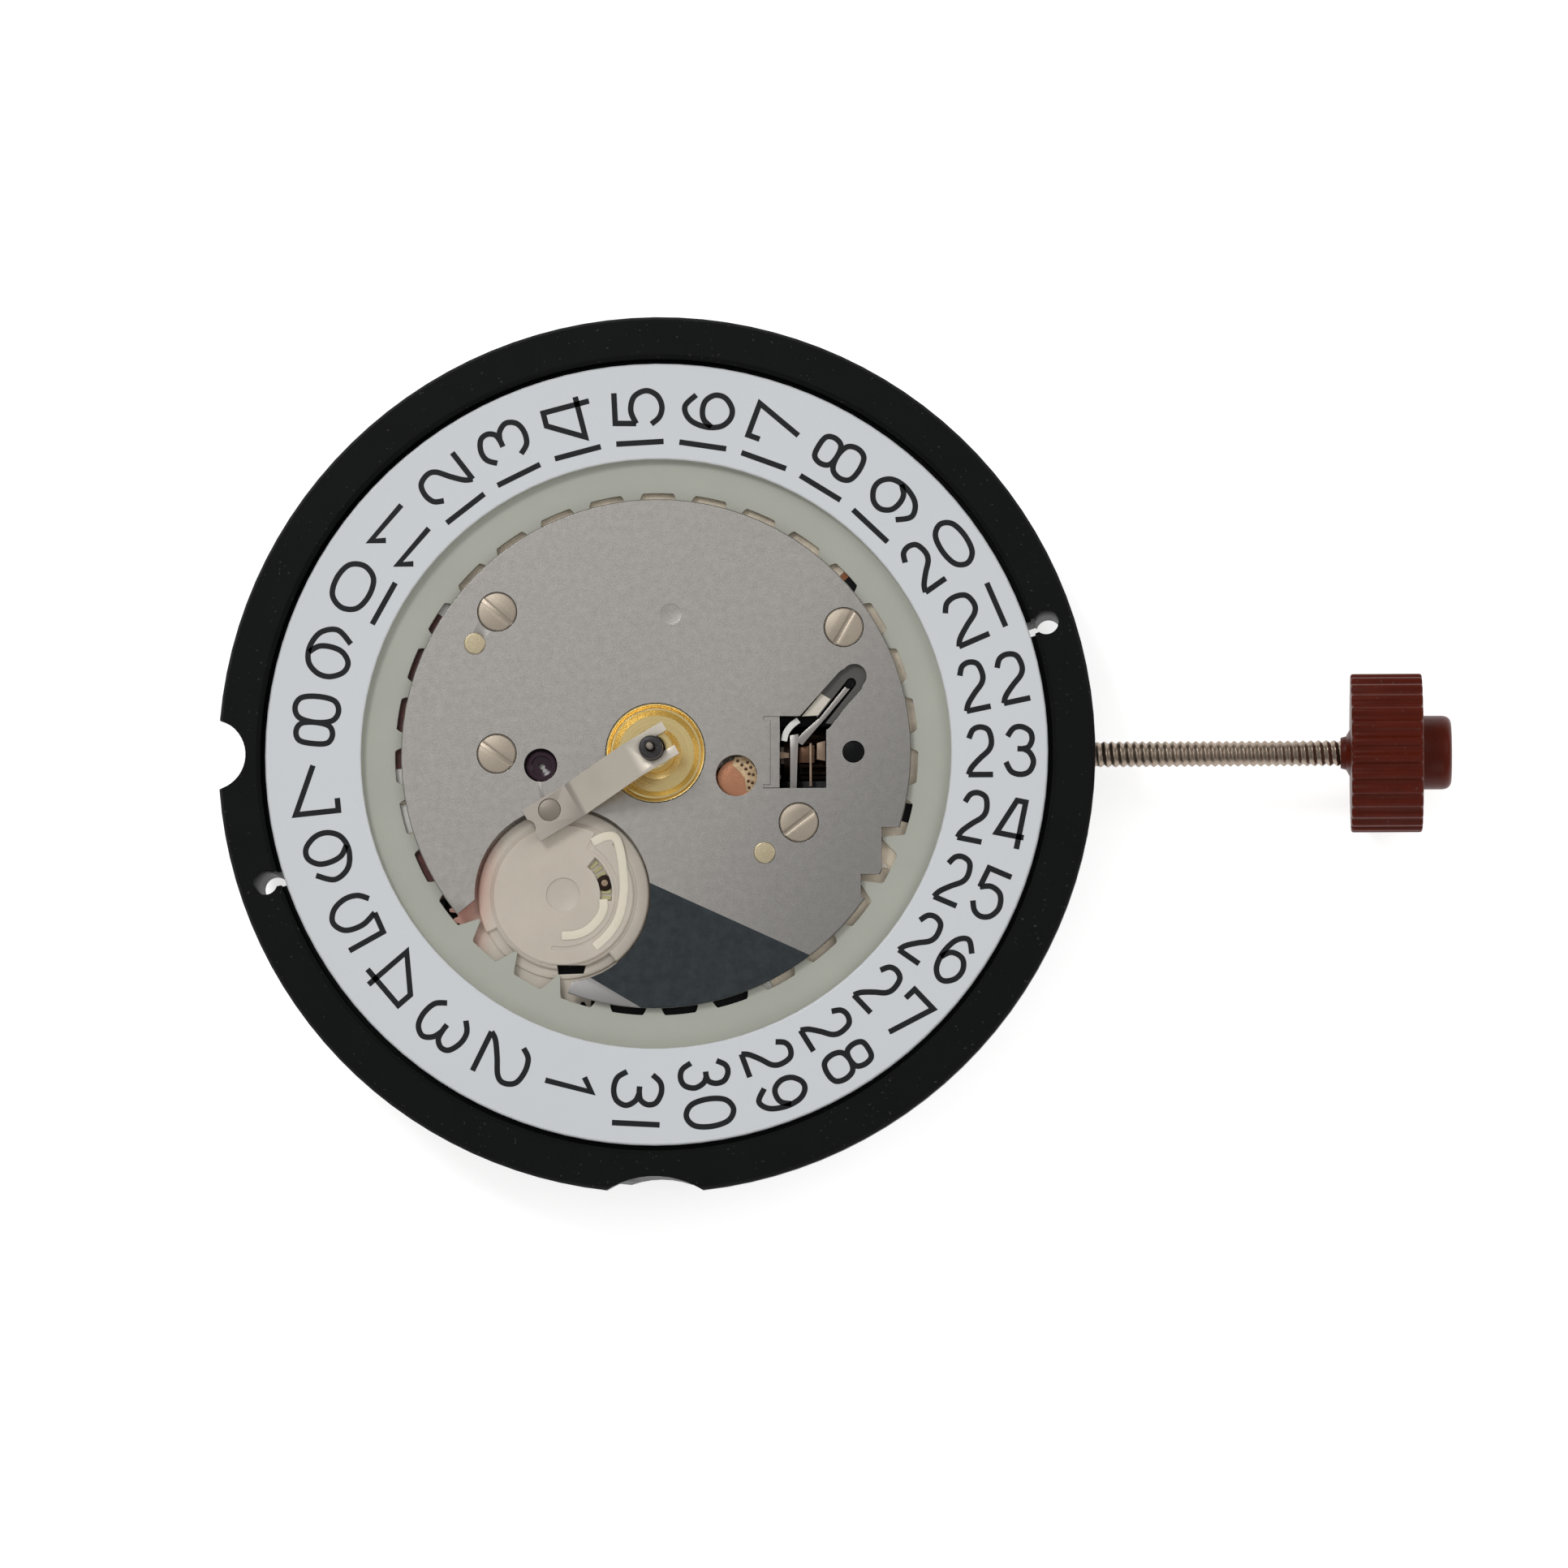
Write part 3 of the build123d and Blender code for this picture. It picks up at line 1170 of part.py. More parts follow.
# Train bridge, pressed steel, over the going train and the rotor
with BuildPart() as train_bridge:
    with BuildSketch(Plane.XY.offset(bridge_z)):
        with Locations(origin):
            Circle(seconds_tip + bridge_margin)
        with Locations(third_centre):
            Circle(third_tip + bridge_margin / 2)
        with Locations(rotor_centre):
            Circle(stator_ring + bridge_margin / 2)
        with Locations(*bridge_screw_places):
            Circle(screw_head_radius + bridge_margin / 2)
        make_hull()
        with Locations(battery_centre):
            Circle(battery_radius + 2 * battery_pocket_gap, mode=Mode.SUBTRACT)
    extrude(amount=bridge_thickness)
    chamfer(train_bridge.edges().group_by(Axis.Z)[0], plate_chamfer)
    for place in (third_centre, jewel_centre, rotor_centre):
        disc(place, jewel_radius, bridge_z - overrun, bridge_z + overrun, Mode.SUBTRACT)
    disc(origin, seconds_radius + running_gap, seconds_pivot_z - end_gap, bridge_z + overrun, Mode.SUBTRACT)
    for place in bridge_screw_places:
        disc(place, screw_head_radius + seat_gap, bridge_z - overrun, bridge_screw_seat, Mode.SUBTRACT)
        disc(place, screw_shank_radius, bridge_z, bridge_z + overrun, Mode.SUBTRACT)
export(train_bridge, "train_bridge")


# Stem, turned in one piece from the pilot to the thread
with BuildPart() as stem:
    rod(0, stem_z, stem_pilot_radius, stem_pilot_start, stem_square_start)
    with BuildSketch(Plane.YZ.offset(stem_square_start)):
        with Locations((0, stem_z)):
            Rectangle(stem_square, stem_square)
    extrude(amount=stem_bearing_start - stem_square_start)
    rod(0, stem_z, stem_bearing_radius, stem_bearing_start, stem_groove_start)
    rod(0, stem_z, stem_groove_radius, stem_groove_start, stem_groove_start + stem_groove_length)
    rod(0, stem_z, stem_bearing_radius, stem_groove_start + stem_groove_length, stem_bearing_end)
    rod(0, stem_z, stem_neck_radius, stem_bearing_end, stem_thread_start)
    rod(0, stem_z, stem_thread_radius, stem_thread_start, crown_start + crown_bore_depth)
export(stem, "stem")


# Crown, moulded, with straight ribs, a hub in front and a collar behind
def crown_points():
    """Outline of the ribbed rim round the stem, three points to a rib."""
    step = 360 / crown_rib_count
    axis = (0, stem_z)
    points = []
    for index in range(crown_rib_count):
        points.append(polar(crown_radius, (index - crown_rib_share / 2) * step, axis))
        points.append(polar(crown_radius, (index + crown_rib_share / 2) * step, axis))
        points.append(polar(crown_radius - crown_rib_depth, (index + 1 / 2) * step, axis))
    return points


with BuildPart() as crown:
    with BuildSketch(Plane.YZ.offset(crown_start)):
        with BuildLine():
            Polyline(*crown_points(), close=True)
        make_face()
    extrude(amount=crown_length)
    rod(0, stem_z, crown_hub_radius, crown_start, crown_start + crown_length + crown_hub_length)
    fillet(crown.edges().filter_by(GeomType.CIRCLE).sort_by(Axis.X)[-1], crown_hub_fillet)
    with BuildSketch(Plane.YZ.offset(crown_start)):
        with Locations((0, stem_z)):
            Circle(crown_boss_radius)
    extrude(amount=-crown_boss_length, taper=crown_boss_taper)
    rod(0, stem_z, stem_thread_radius, crown_start - crown_boss_length - overrun,
        crown_start + crown_bore_depth, Mode.SUBTRACT)
export(crown, "crown")


# Sliding pinion on the square of the stem
pinion_module = pinion_radius / (pinion_tooth_count / 2 + tooth_tip_share)
with BuildPart() as sliding_pinion:
    rod(0, stem_z, pinion_radius, pinion_start, pinion_start + pinion_groove_start)
    groove_end = pinion_start + pinion_groove_start + pinion_groove_length
    rod(0, stem_z, pinion_groove_radius, pinion_start, groove_end)
    with BuildSketch(Plane.YZ.offset(groove_end)):
        with BuildLine():
            Polyline(
                *[(y_place, stem_z + z_place) for y_place, z_place in
                  gear_points(pinion_tooth_count, pinion_module, 0)],
                close=True,
            )
        make_face()
    extrude(amount=pinion_start + pinion_length - groove_end)
    with BuildSketch(Plane.YZ.offset(pinion_start)):
        with Locations((0, stem_z)):
            Rectangle(stem_square + running_gap, stem_square + running_gap)
    extrude(amount=pinion_length, mode=Mode.SUBTRACT)
export(sliding_pinion, "sliding_pinion")


# Yoke, a bent spring that sits in the groove of the sliding pinion
with BuildPart() as yoke:
    disc(slot_end, yoke_pivot_radius, yoke_z, yoke_z + yoke_thickness)
    bar(slot_end, yoke_corner, yoke_width, yoke_z, yoke_z + yoke_thickness)
    bar(yoke_corner, yoke_blade_end, yoke_width, yoke_z, yoke_z + yoke_thickness)
    blade_top = (yoke_blade_x, pinion_groove_radius)
    blade_bottom = (yoke_blade_x, -pinion_groove_radius)
    bar(blade_top, blade_bottom, yoke_width, stem_z + pinion_groove_radius + end_gap, yoke_z)
    disc(slot_end, yoke_post_radius, yoke_z, yoke_z + yoke_thickness, Mode.SUBTRACT)
export(yoke, "yoke")


# Setting lever, whose pin stands in the groove of the stem
with BuildPart() as setting_lever:
    disc(lever_pivot, lever_pivot_radius, lever_z, lever_z + lever_thickness)
    bar(lever_pivot, lever_pin, lever_width, lever_z, lever_z + lever_thickness)
    disc(lever_pin, lever_pin_radius, lever_z, stem_z - stem_groove_radius - end_gap)
    disc(lever_pivot, lever_post_radius + running_gap, lever_z - overrun, lever_z + overrun, Mode.SUBTRACT)
    dimple = polar(lever_dimple_reach, lever_rest_angle, lever_pivot)
    disc(dimple, lever_dimple_radius, lever_z - overrun, lever_z + lever_dimple_depth, Mode.SUBTRACT)
export(setting_lever, "setting_lever")

with BuildPart() as keyless_cover:
    with BuildSketch(Plane.XY.offset(cover_z)):
        with Locations(lever_pivot):
            Circle(lever_pivot_radius + bridge_margin / 2)
        with Locations(*cover_screw_places):
            Circle(screw_head_radius + bridge_margin / 2)
        make_hull()
        with Locations(*cover_screw_places):
            Circle(screw_shank_radius, mode=Mode.SUBTRACT)
    extrude(amount=back_floor_z - cover_z)
export(keyless_cover, "keyless_cover")


# Jumper spring that stands between two teeth of the date ring
with BuildPart() as date_jumper:
    disc(jumper_anchor, jumper_ring_radius, jumper_z, jumper_z + jumper_thickness)
    bar(jumper_anchor, jumper_elbow, jumper_width, jumper_z, jumper_z + jumper_thickness)
    with BuildSketch(Plane.XY.offset(jumper_z)):
        with BuildLine():
            Polyline(
                polar(jumper_nose_width / 2, jumper_nose_angle + 90, jumper_elbow),
                polar(jumper_nose_width / 2, jumper_nose_angle + 90,
                      polar(ring_tip_radius - free_gap, jumper_nose_angle)),
                polar(jumper_nose_radius, jumper_nose_angle),
                polar(jumper_nose_width / 2, jumper_nose_angle - 90,
                      polar(ring_tip_radius - free_gap, jumper_nose_angle)),
                polar(jumper_nose_width / 2, jumper_nose_angle - 90, jumper_elbow),
                close=True,
            )
        make_face()
    extrude(amount=jumper_thickness)
    disc(jumper_anchor, pin_radius, jumper_z - overrun, jumper_z + overrun, Mode.SUBTRACT)
export(date_jumper, "date_jumper")
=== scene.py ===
"""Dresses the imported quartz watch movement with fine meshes, finishes, light and a camera."""

import json
import math

import bmesh
import bpy
from mathutils import Matrix, Vector


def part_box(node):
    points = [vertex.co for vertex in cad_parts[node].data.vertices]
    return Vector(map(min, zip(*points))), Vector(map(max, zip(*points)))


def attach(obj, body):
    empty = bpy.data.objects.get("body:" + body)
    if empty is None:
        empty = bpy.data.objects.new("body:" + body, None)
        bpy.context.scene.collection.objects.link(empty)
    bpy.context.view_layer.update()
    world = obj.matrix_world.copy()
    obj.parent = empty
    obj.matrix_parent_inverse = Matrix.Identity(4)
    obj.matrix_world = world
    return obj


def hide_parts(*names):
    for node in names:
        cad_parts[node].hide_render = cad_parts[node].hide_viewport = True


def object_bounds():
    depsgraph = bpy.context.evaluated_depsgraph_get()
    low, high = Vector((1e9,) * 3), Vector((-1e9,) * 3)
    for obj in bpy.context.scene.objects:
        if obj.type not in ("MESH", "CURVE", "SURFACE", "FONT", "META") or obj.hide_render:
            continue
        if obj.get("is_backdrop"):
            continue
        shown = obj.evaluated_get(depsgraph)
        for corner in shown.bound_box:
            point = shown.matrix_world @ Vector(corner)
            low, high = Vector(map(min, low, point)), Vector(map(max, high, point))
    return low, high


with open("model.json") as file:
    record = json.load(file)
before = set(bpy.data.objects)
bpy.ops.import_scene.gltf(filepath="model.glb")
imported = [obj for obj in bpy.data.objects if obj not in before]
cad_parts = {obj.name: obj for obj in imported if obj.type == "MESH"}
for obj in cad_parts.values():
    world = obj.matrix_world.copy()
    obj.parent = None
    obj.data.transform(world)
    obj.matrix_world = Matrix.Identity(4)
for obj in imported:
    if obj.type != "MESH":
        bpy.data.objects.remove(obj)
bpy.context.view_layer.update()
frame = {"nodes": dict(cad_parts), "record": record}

bl_info = {
    "name": "Quartz Watch Movement",
    "version": (1, 0, 0),
    "blender": (4, 5, 0),
    "location": "View3D > Sidebar > Movement",
    "description": "Builds the visible pieces and finishes of a quartz watch movement on its packed frame",
    "category": "Object",
}

MM = 0.001


# Sizes and colours


def linear(value):
    """Scene-linear red, green and blue from sRGB bytes."""
    shares = [channel / 255 for channel in value]
    return tuple(s / 12.92 if s <= 0.04045 else ((s + 0.055) / 1.055) ** 2.4 for s in shares)


def size_property(name, description, millimetres):
    """A length that a user may change, kept in metres and given in millimetres."""
    return bpy.props.FloatProperty(
        name=name,
        description=description,
        default=millimetres * MM,
        min=0.0,
        precision=5,
        subtype="DISTANCE",
        unit="LENGTH",
    )


def colour_property(name, description, value):
    """A colour that a user may change, from its sRGB bytes."""
    return bpy.props.FloatVectorProperty(
        name=name,
        description=description,
        default=linear(value),
        min=0.0,
        max=1.0,
        size=3,
        subtype="COLOR",
    )


class MovementSizes(bpy.types.PropertyGroup):
    """Sizes of the pieces that carry the look of the movement."""

    ring_step: size_property("Date ring step radius", "Radius between white band and lower band", 8.81)
    numeral_height: size_property("Numeral height", "Height of the date numbers", 1.42)
    numeral_stroke: size_property("Numeral stroke", "Width of the strokes of the date numbers", 0.165)
    crown_radius: size_property("Crown radius", "Radius over the ribs of the crown", 2.37)
    crown_hub: size_property("Crown hub radius", "Radius of the hub in front of the crown", 1.1)
    stem_radius: size_property("Stem thread radius", "Radius over the crests of the stem thread", 0.39)
    thread_pitch: size_property("Stem thread pitch", "Distance from crest to crest of the thread", 0.228)
    stem_height: size_property("Stem height", "Height of the stem's axis over the back face", 1.5)


class MovementColours(bpy.types.PropertyGroup):
    """Colours of the finishes of the movement."""

    plate_black: colour_property("Plate black", "Moulded plastic of the main plate", (13, 14, 14))
    band_white: colour_property("Band white", "Lacquer of the date band", (222, 225, 228))
    band_beige: colour_property("Band beige", "Bare lower band of the date ring", (179, 180, 169))
    print_black: colour_property("Print black", "Ink of the date numbers", (24, 26, 29))
    steel: colour_property("Steel", "Calendar plate steel", (179, 175, 170))
    warm_steel: colour_property("Warm steel", "Screws, pins and springs", (178, 165, 149))
    gold: colour_property("Gold", "Gilt brass of the hour wheel", (236, 212, 152))
    cream: colour_property("Cream", "Moulded date wheel", (208, 198, 184))
    crown_brown: colour_property("Crown brown", "Moulded plastic of the crown", (84, 24, 8))
    jewel: colour_property("Jewel", "Synthetic ruby of the bearings", (44, 12, 32))
    slate: colour_property("Slate", "Dark painted stripe on the calendar plate", (48, 54, 58))


def settings():
    """The sizes of the scene at hand."""
    return bpy.context.scene.movement_sizes


def colours():
    """The colours of the scene at hand."""
    return bpy.context.scene.movement_colours


def in_mm(length):
    """Millimetres from a length in metres."""
    return length / MM


# Outlines and solids, in millimetres

# Largest gap between a round edge and its straight sides, and the fewest and the most sides of a circle
ROUND_GAP, FEWEST_SIDES, MOST_SIDES = 0.002, 32, 256
# Least cosine at a sharp turn, so that a stroke's corner stays short, and how many roundings fit on one side
LEAST_MITRE, ROUNDINGS_ON_SIDE = 0.5, 2.2
# Distances in metres under which points are one, in made meshes and in CAD meshes, and at a cut
WELD, CAD_WELD, SPLIT_REACH = 1e-8, 2e-7, 1e-7
# Angle in degrees between two faces that are taken for one flat face
FLAT_ANGLE = 0.5


def polar(radius, angle, centre=(0.0, 0.0)):
    """Point at a radius and an angle in degrees from a centre."""
    turn = math.radians(angle)
    return (centre[0] + radius * math.cos(turn), centre[1] + radius * math.sin(turn))


def heading(start, end):
    """Angle in degrees from one point to another."""
    return math.degrees(math.atan2(end[1] - start[1], end[0] - start[0]))


def round_count(radius):
    """Number of sides at which a circle of this size looks round."""
    quarter = int(math.pi / math.acos(1 - ROUND_GAP / radius) / 4)
    return max(FEWEST_SIDES, min(MOST_SIDES, quarter * 4))


def circle(radius, centre=(0.0, 0.0), count=None):
    """Points of a circle."""
    count = count or round_count(radius)
    return [polar(radius, 360 * i / count, centre) for i in range(count)]


def capsule(start, end, width, steps=18):
    """Points of a round-ended bar between two points."""
    turn = heading(start, end)
    arcs = ((start, turn + 90), (end, turn - 90))
    return [polar(width / 2, first + 180 * i / steps, at) for at, first in arcs for i in range(steps + 1)]


def oblong(x_from, x_to, y_from, y_to):
    """Corners of a rectangle."""
    return [(x_from, y_from), (x_to, y_from), (x_to, y_to), (x_from, y_to)]


def smooth_line(points, closed=False, steps=7):
    """Curve through points, with even steps between them."""
    made, count = [], len(points)
    for i in range(count if closed else count - 1):
        near = [(i + k) % count if closed else max(0, min(count - 1, i + k)) for k in (-1, 0, 1, 2)]
        a, b, c, d = (Vector(points[k]) for k in near)
        level, slope = 2 * b, c - a
        bend, turn = 2 * a - 5 * b + 4 * c - d, 3 * b - a - 3 * c + d
        for k in range(steps):
            t = k / steps
            made.append(tuple(0.5 * (level + slope * t + bend * t**2 + turn * t**3)))
    return made if closed else made + [tuple(points[-1])]


def new_object(name, mesh):
    """Object of a mesh in the scene's own collection."""
    made = bpy.data.objects.new(name, mesh)
    bpy.context.scene.collection.objects.link(made)
    return made


def from_faces(name, points, faces):
    """Closed mesh object from points in millimetres and faces."""
    mesh = bpy.data.meshes.new(name)
    mesh.from_pydata([[c * MM for c in p] for p in points], [], faces)
    body = bmesh.new()
    body.from_mesh(mesh)
    bmesh.ops.remove_doubles(body, verts=body.verts, dist=WELD)
    bmesh.ops.recalc_face_normals(body, faces=body.faces)
    body.to_mesh(mesh)
    body.free()
    return new_object(name, mesh)


def prism(name, outline, bottom, top):
    """Solid between two heights over an outline without holes."""
    n = len(outline)
    points = [(x, y, bottom) for x, y in outline] + [(x, y, top) for x, y in outline]
    faces = [tuple(range(n - 1, -1, -1)), tuple(range(n, 2 * n))]
    faces += [(i, (i + 1) % n, n + (i + 1) % n, n + i) for i in range(n)]
    return from_faces(name, points, faces)


def ribbon(line, width, bottom, top, closed=False):
    """Points and faces of a flat stroke of one width along a line."""
    count, points, faces = len(line), [], []
    for i, here in enumerate(line):
        before = line[i - 1] if closed or i else here
        after = line[(i + 1) % count] if closed or i < count - 1 else here
        p, a, b = Vector(here), Vector(before), Vector(after)
        into = (p - a).normalized() if (p - a).length else (b - p).normalized()
        out = (b - p).normalized() if (b - p).length else into
        across = Vector((-into[1] - out[1], into[0] + out[0])).normalized()
        reach = width / 2 / max(LEAST_MITRE, across.dot(Vector((-into[1], into[0]))))
        for side in (1, -1):
            x, y = p + across * reach * side
            points += [(x, y, bottom), (x, y, top)]
    for i in range(count if closed else count - 1):
        a, b = 4 * i, 4 * ((i + 1) % count)
        faces += [(a + 1, b + 1, b + 3, a + 3), (a, a + 2, b + 2, b)]
        faces += [(a, b, b + 1, a + 1), (a + 2, a + 3, b + 3, b + 2)]
    if not closed:
        end = 4 * (count - 1)
        faces += [(0, 1, 3, 2), (end, end + 2, end + 3, end + 1)]
    return points, faces


def turned(name, profile, centre=(0.0, 0.0), ring=False, count=None):
    """Solid turned about an upright axis from (radius, height) points, closed on themselves for a ring."""
    count = count or round_count(max(r for r, z in profile))
    points, rows, faces = [], [], []
    for r, z in profile:
        if r <= 0:
            rows.append([len(points)] * count)
            points.append((centre[0], centre[1], z))
        else:
            rows.append(list(range(len(points), len(points) + count)))
            points += [(*polar(r, 360 * i / count, centre), z) for i in range(count)]
    for low, high in list(zip(rows, rows[1:])) + ([(rows[-1], rows[0])] if ring else []):
        for i in range(count):
            j = (i + 1) % count
            corners = list(dict.fromkeys((low[i], low[j], high[j], high[i])))
            if len(corners) > 2:
                faces.append(corners)
    return from_faces(name, points, faces)


def tube(name, rings):
    """Solid over rings of points that lie one after the other."""
    sides, last = len(rings[0]), len(rings) - 1
    points = [point for ring in rings for point in ring]
    faces = []
    for row in range(last):
        for i in range(sides):
            a, b = row * sides + i, row * sides + (i + 1) % sides
            faces.append((a, b, b + sides, a + sides))
    faces += [tuple(reversed(range(sides))), tuple(range(last * sides, (last + 1) * sides))]
    return from_faces(name, points, faces)


def rounded(corners, radius, steps=3):
    """Profile whose inner corners are rounded off."""
    made = [corners[0]]
    for before, corner, after in zip(corners, corners[1:], corners[2:]):
        a, c, b = Vector(before), Vector(corner), Vector(after)
        reach = min(radius, (a - c).length / ROUNDINGS_ON_SIDE, (b - c).length / ROUNDINGS_ON_SIDE)
        start, end = c + (a - c).normalized() * reach, c + (b - c).normalized() * reach
        for i in range(steps + 1):
            t = i / steps
            made.append(tuple(start * (1 - t) ** 2 + c * 2 * t * (1 - t) + end * t**2))
    return made + [corners[-1]]


def lay_along_x(piece, height):
    """Turns an upright piece so that its axis lies along the stem at a height."""
    piece.data.transform(Matrix(((0, 0, 1, 0), (1, 0, 0, 0), (0, 1, 0, height * MM), (0, 0, 0, 1))))
    return piece


def settle(piece):
    """Applies the modifiers of a piece to its mesh."""
    graph = bpy.context.evaluated_depsgraph_get()
    made = bpy.data.meshes.new_from_object(piece.evaluated_get(graph), depsgraph=graph)
    old = piece.data
    piece.modifiers.clear()
    piece.data = made
    bpy.data.meshes.remove(old)
    if not made.polygons:
        raise RuntimeError(f"{piece.name} came out empty")
    return piece


def drop(piece):
    """Takes a piece that was only a tool away."""
    old = piece.data
    bpy.data.objects.remove(piece)
    bpy.data.meshes.remove(old)


def combine(target, tools, operation="DIFFERENCE"):
    """Cuts tools from a solid, or adds them to it, and takes the tools away."""
    for tool in tools:
        step = target.modifiers.new("step", "BOOLEAN")
        step.operation, step.solver, step.object = operation, "MANIFOLD", tool
    settle(target)
    for tool in tools:
        drop(tool)
    return target


def join(pieces, name):
    """One object of several."""
    body = bmesh.new()
    for piece in pieces:
        body.from_mesh(piece.data)
    mesh = bpy.data.meshes.new(name)
    body.to_mesh(mesh)
    body.free()
    for piece in pieces:
        drop(piece)
    return new_object(name, mesh)


def soften(piece, width, steps=2, angle=38):
    """Rounds the sharp edges of a piece."""
    step = piece.modifiers.new("edge", "BEVEL")
    step.width, step.segments, step.limit_method = width * MM, steps, "ANGLE"
    step.angle_limit = math.radians(angle)
    step.use_clamp_overlap = True
    return settle(piece)


def shade(piece, angle=34):
    """Smooth shading that breaks only at sharp edges."""
    body = bmesh.new()
    body.from_mesh(piece.data)
    for face in body.faces:
        face.smooth = True
    for edge in body.edges:
        edge.smooth = len(edge.link_faces) == 2 and edge.calc_face_angle(0.0) < math.radians(angle)
    body.to_mesh(piece.data)
    body.free()
    return piece


def dress(piece, material, body, *nodes):
    """Shades, paints and seats a finished piece, and lets it stand for its CAD nodes."""
    shade(piece)
    piece.data.materials.clear()
    piece.data.materials.append(finish(material))
    even = piece.modifiers.new("even shading", "WEIGHTED_NORMAL")
    even.keep_sharp = True
    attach(piece, body)
    if nodes:
        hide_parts(*nodes)
    return piece


def refined(node, width):
    """Piece that starts as the solid of a CAD node, its flat faces cleaned and its edges rounded."""
    body = bmesh.new()
    body.from_mesh(frame["nodes"][node].data)
    bmesh.ops.remove_doubles(body, verts=body.verts, dist=CAD_WELD)
    bmesh.ops.dissolve_limit(body, angle_limit=math.radians(FLAT_ANGLE), verts=body.verts, edges=body.edges)
    mesh = bpy.data.meshes.new(f"{node}_piece")
    body.to_mesh(mesh)
    body.free()
    made = new_object(f"{node}_piece", mesh)
    return soften(made, width) if width else made


# Finishes: two shared effects, and one material for each kind of surface


def lay_node(tree, kind, links=(), **choices):
    """New shader node with its choices made, and its inputs linked or set by place."""
    node = tree.nodes.new(kind)
    for key, value in choices.items():
        setattr(node, key, value)
    for place, source in links:
        if isinstance(source, (int, float, tuple)):
            node.inputs[place].default_value = source
        else:
            tree.links.new(source, node.inputs[place])
    return node


def new_effect(label, takes, gives):
    """Empty shared effect with its sockets: the effect, what it takes and what it gives."""
    made = bpy.data.node_groups.new(label, "ShaderNodeTree")
    for way, sockets in (("INPUT", takes), ("OUTPUT", gives)):
        for name, kind in sockets:
            made.interface.new_socket(name, in_out=way, socket_type=f"NodeSocket{kind}")
    return made, made.nodes.new("NodeGroupInput").outputs, made.nodes.new("NodeGroupOutput").inputs


# Worked surface: how rough its noise is, and how fine the noise of its grain, its lines and its dust
NOISE_ROUGHNESS = 0.55
GRAIN_DETAIL, LINE_DETAIL, DUST_DETAIL = 3.0, 2.0, 1.0
# How far brushed lines are drawn out, and how much clouds and relief each change the tone
LINE_STRETCH, CLOUD_WEIGHT, RELIEF_WEIGHT = 0.03, 1.5, 0.5
# Dust: size in mm, level of the noise above which it lies, and colour; then the least roughness of a finish
DUST_SIZE, DUST_LEVEL, DUST_COLOUR = 0.11, 0.735, (0.5, 0.49, 0.47, 1.0)
LEAST_ROUGHNESS = 0.03
SURFACE_TAKES = (
    ("Colour", "Color"),
    ("Tone", "Float"),
    ("Grain Size", "Float"),
    ("Cloud Size", "Float"),
    ("Line Share", "Float"),
    ("Line Spacing", "Float"),
    ("Circular", "Float"),
    ("Roughness", "Float"),
    ("Spread", "Float"),
    ("Dust", "Float"),
)
SURFACE_GIVES = (("Colour", "Color"), ("Roughness", "Float"), ("Height", "Float"))


def surface_effect():
    """Shared effect: clouded colour, uneven gloss, a grained, brushed or turned relief, and fine dust."""
    if "Worked Surface" in bpy.data.node_groups:
        return bpy.data.node_groups["Worked Surface"]
    made, taken, given = new_effect("Worked Surface", SURFACE_TAKES, SURFACE_GIVES)

    def maths(operation, first, second=0.0, third=0.0):
        links = ((0, first), (1, second), (2, third))
        return lay_node(made, "ShaderNodeMath", links, operation=operation).outputs[0]

    def noise(vector, size, detail):
        scale = maths("DIVIDE", 1 / MM, size)
        links = ((0, vector), (2, scale), (3, detail), (4, NOISE_ROUGHNESS))
        return lay_node(made, "ShaderNodeTexNoise", links).outputs["Fac"]

    def joined(*parts):
        return lay_node(made, "ShaderNodeCombineXYZ", enumerate(parts)).outputs[0]

    place = made.nodes.new("ShaderNodeTexCoord").outputs["Object"]
    grain = noise(place, taken["Grain Size"], GRAIN_DETAIL)
    clouds = noise(place, taken["Cloud Size"], GRAIN_DETAIL)
    x, y, z = lay_node(made, "ShaderNodeSeparateXYZ", ((0, place),)).outputs
    away = lay_node(made, "ShaderNodeVectorMath", ((0, joined(x, y)),), operation="LENGTH")
    radius = away.outputs["Value"]
    across = maths("MULTIPLY_ADD", maths("SUBTRACT", radius, y), taken["Circular"], y)
    drawn = joined(across, maths("MULTIPLY", x, LINE_STRETCH), z)
    lines = noise(drawn, taken["Line Spacing"], LINE_DETAIL)
    relief = maths("MULTIPLY_ADD", maths("SUBTRACT", lines, grain), taken["Line Share"], grain)
    weighed = maths("MULTIPLY_ADD", clouds, CLOUD_WEIGHT, maths("MULTIPLY", relief, RELIEF_WEIGHT))
    uneven = maths("SUBTRACT", weighed, (CLOUD_WEIGHT + RELIEF_WEIGHT) / 2)
    level = maths("MULTIPLY_ADD", maths("MULTIPLY", uneven, taken["Tone"]), 2.0, 1.0)
    toned = lay_node(made, "ShaderNodeVectorMath", ((0, taken["Colour"]),), operation="SCALE")
    made.links.new(level, toned.inputs["Scale"])
    specks = noise(place, DUST_SIZE, DUST_DETAIL)
    mask = maths("MULTIPLY", maths("GREATER_THAN", specks, DUST_LEVEL), taken["Dust"])
    links = ((0, mask), (6, toned.outputs[0]), (7, DUST_COLOUR))
    dusted = lay_node(made, "ShaderNodeMix", links, data_type="RGBA")
    made.links.new(dusted.outputs[2], given["Colour"])
    gloss = maths("MULTIPLY_ADD", maths("SUBTRACT", relief, 0.5), taken["Spread"], taken["Roughness"])
    kept = lay_node(made, "ShaderNodeClamp", ((0, gloss), (1, LEAST_ROUGHNESS), (2, 1.0)))
    made.links.new(kept.outputs[0], given["Roughness"])
    made.links.new(relief, given["Height"])
    return made


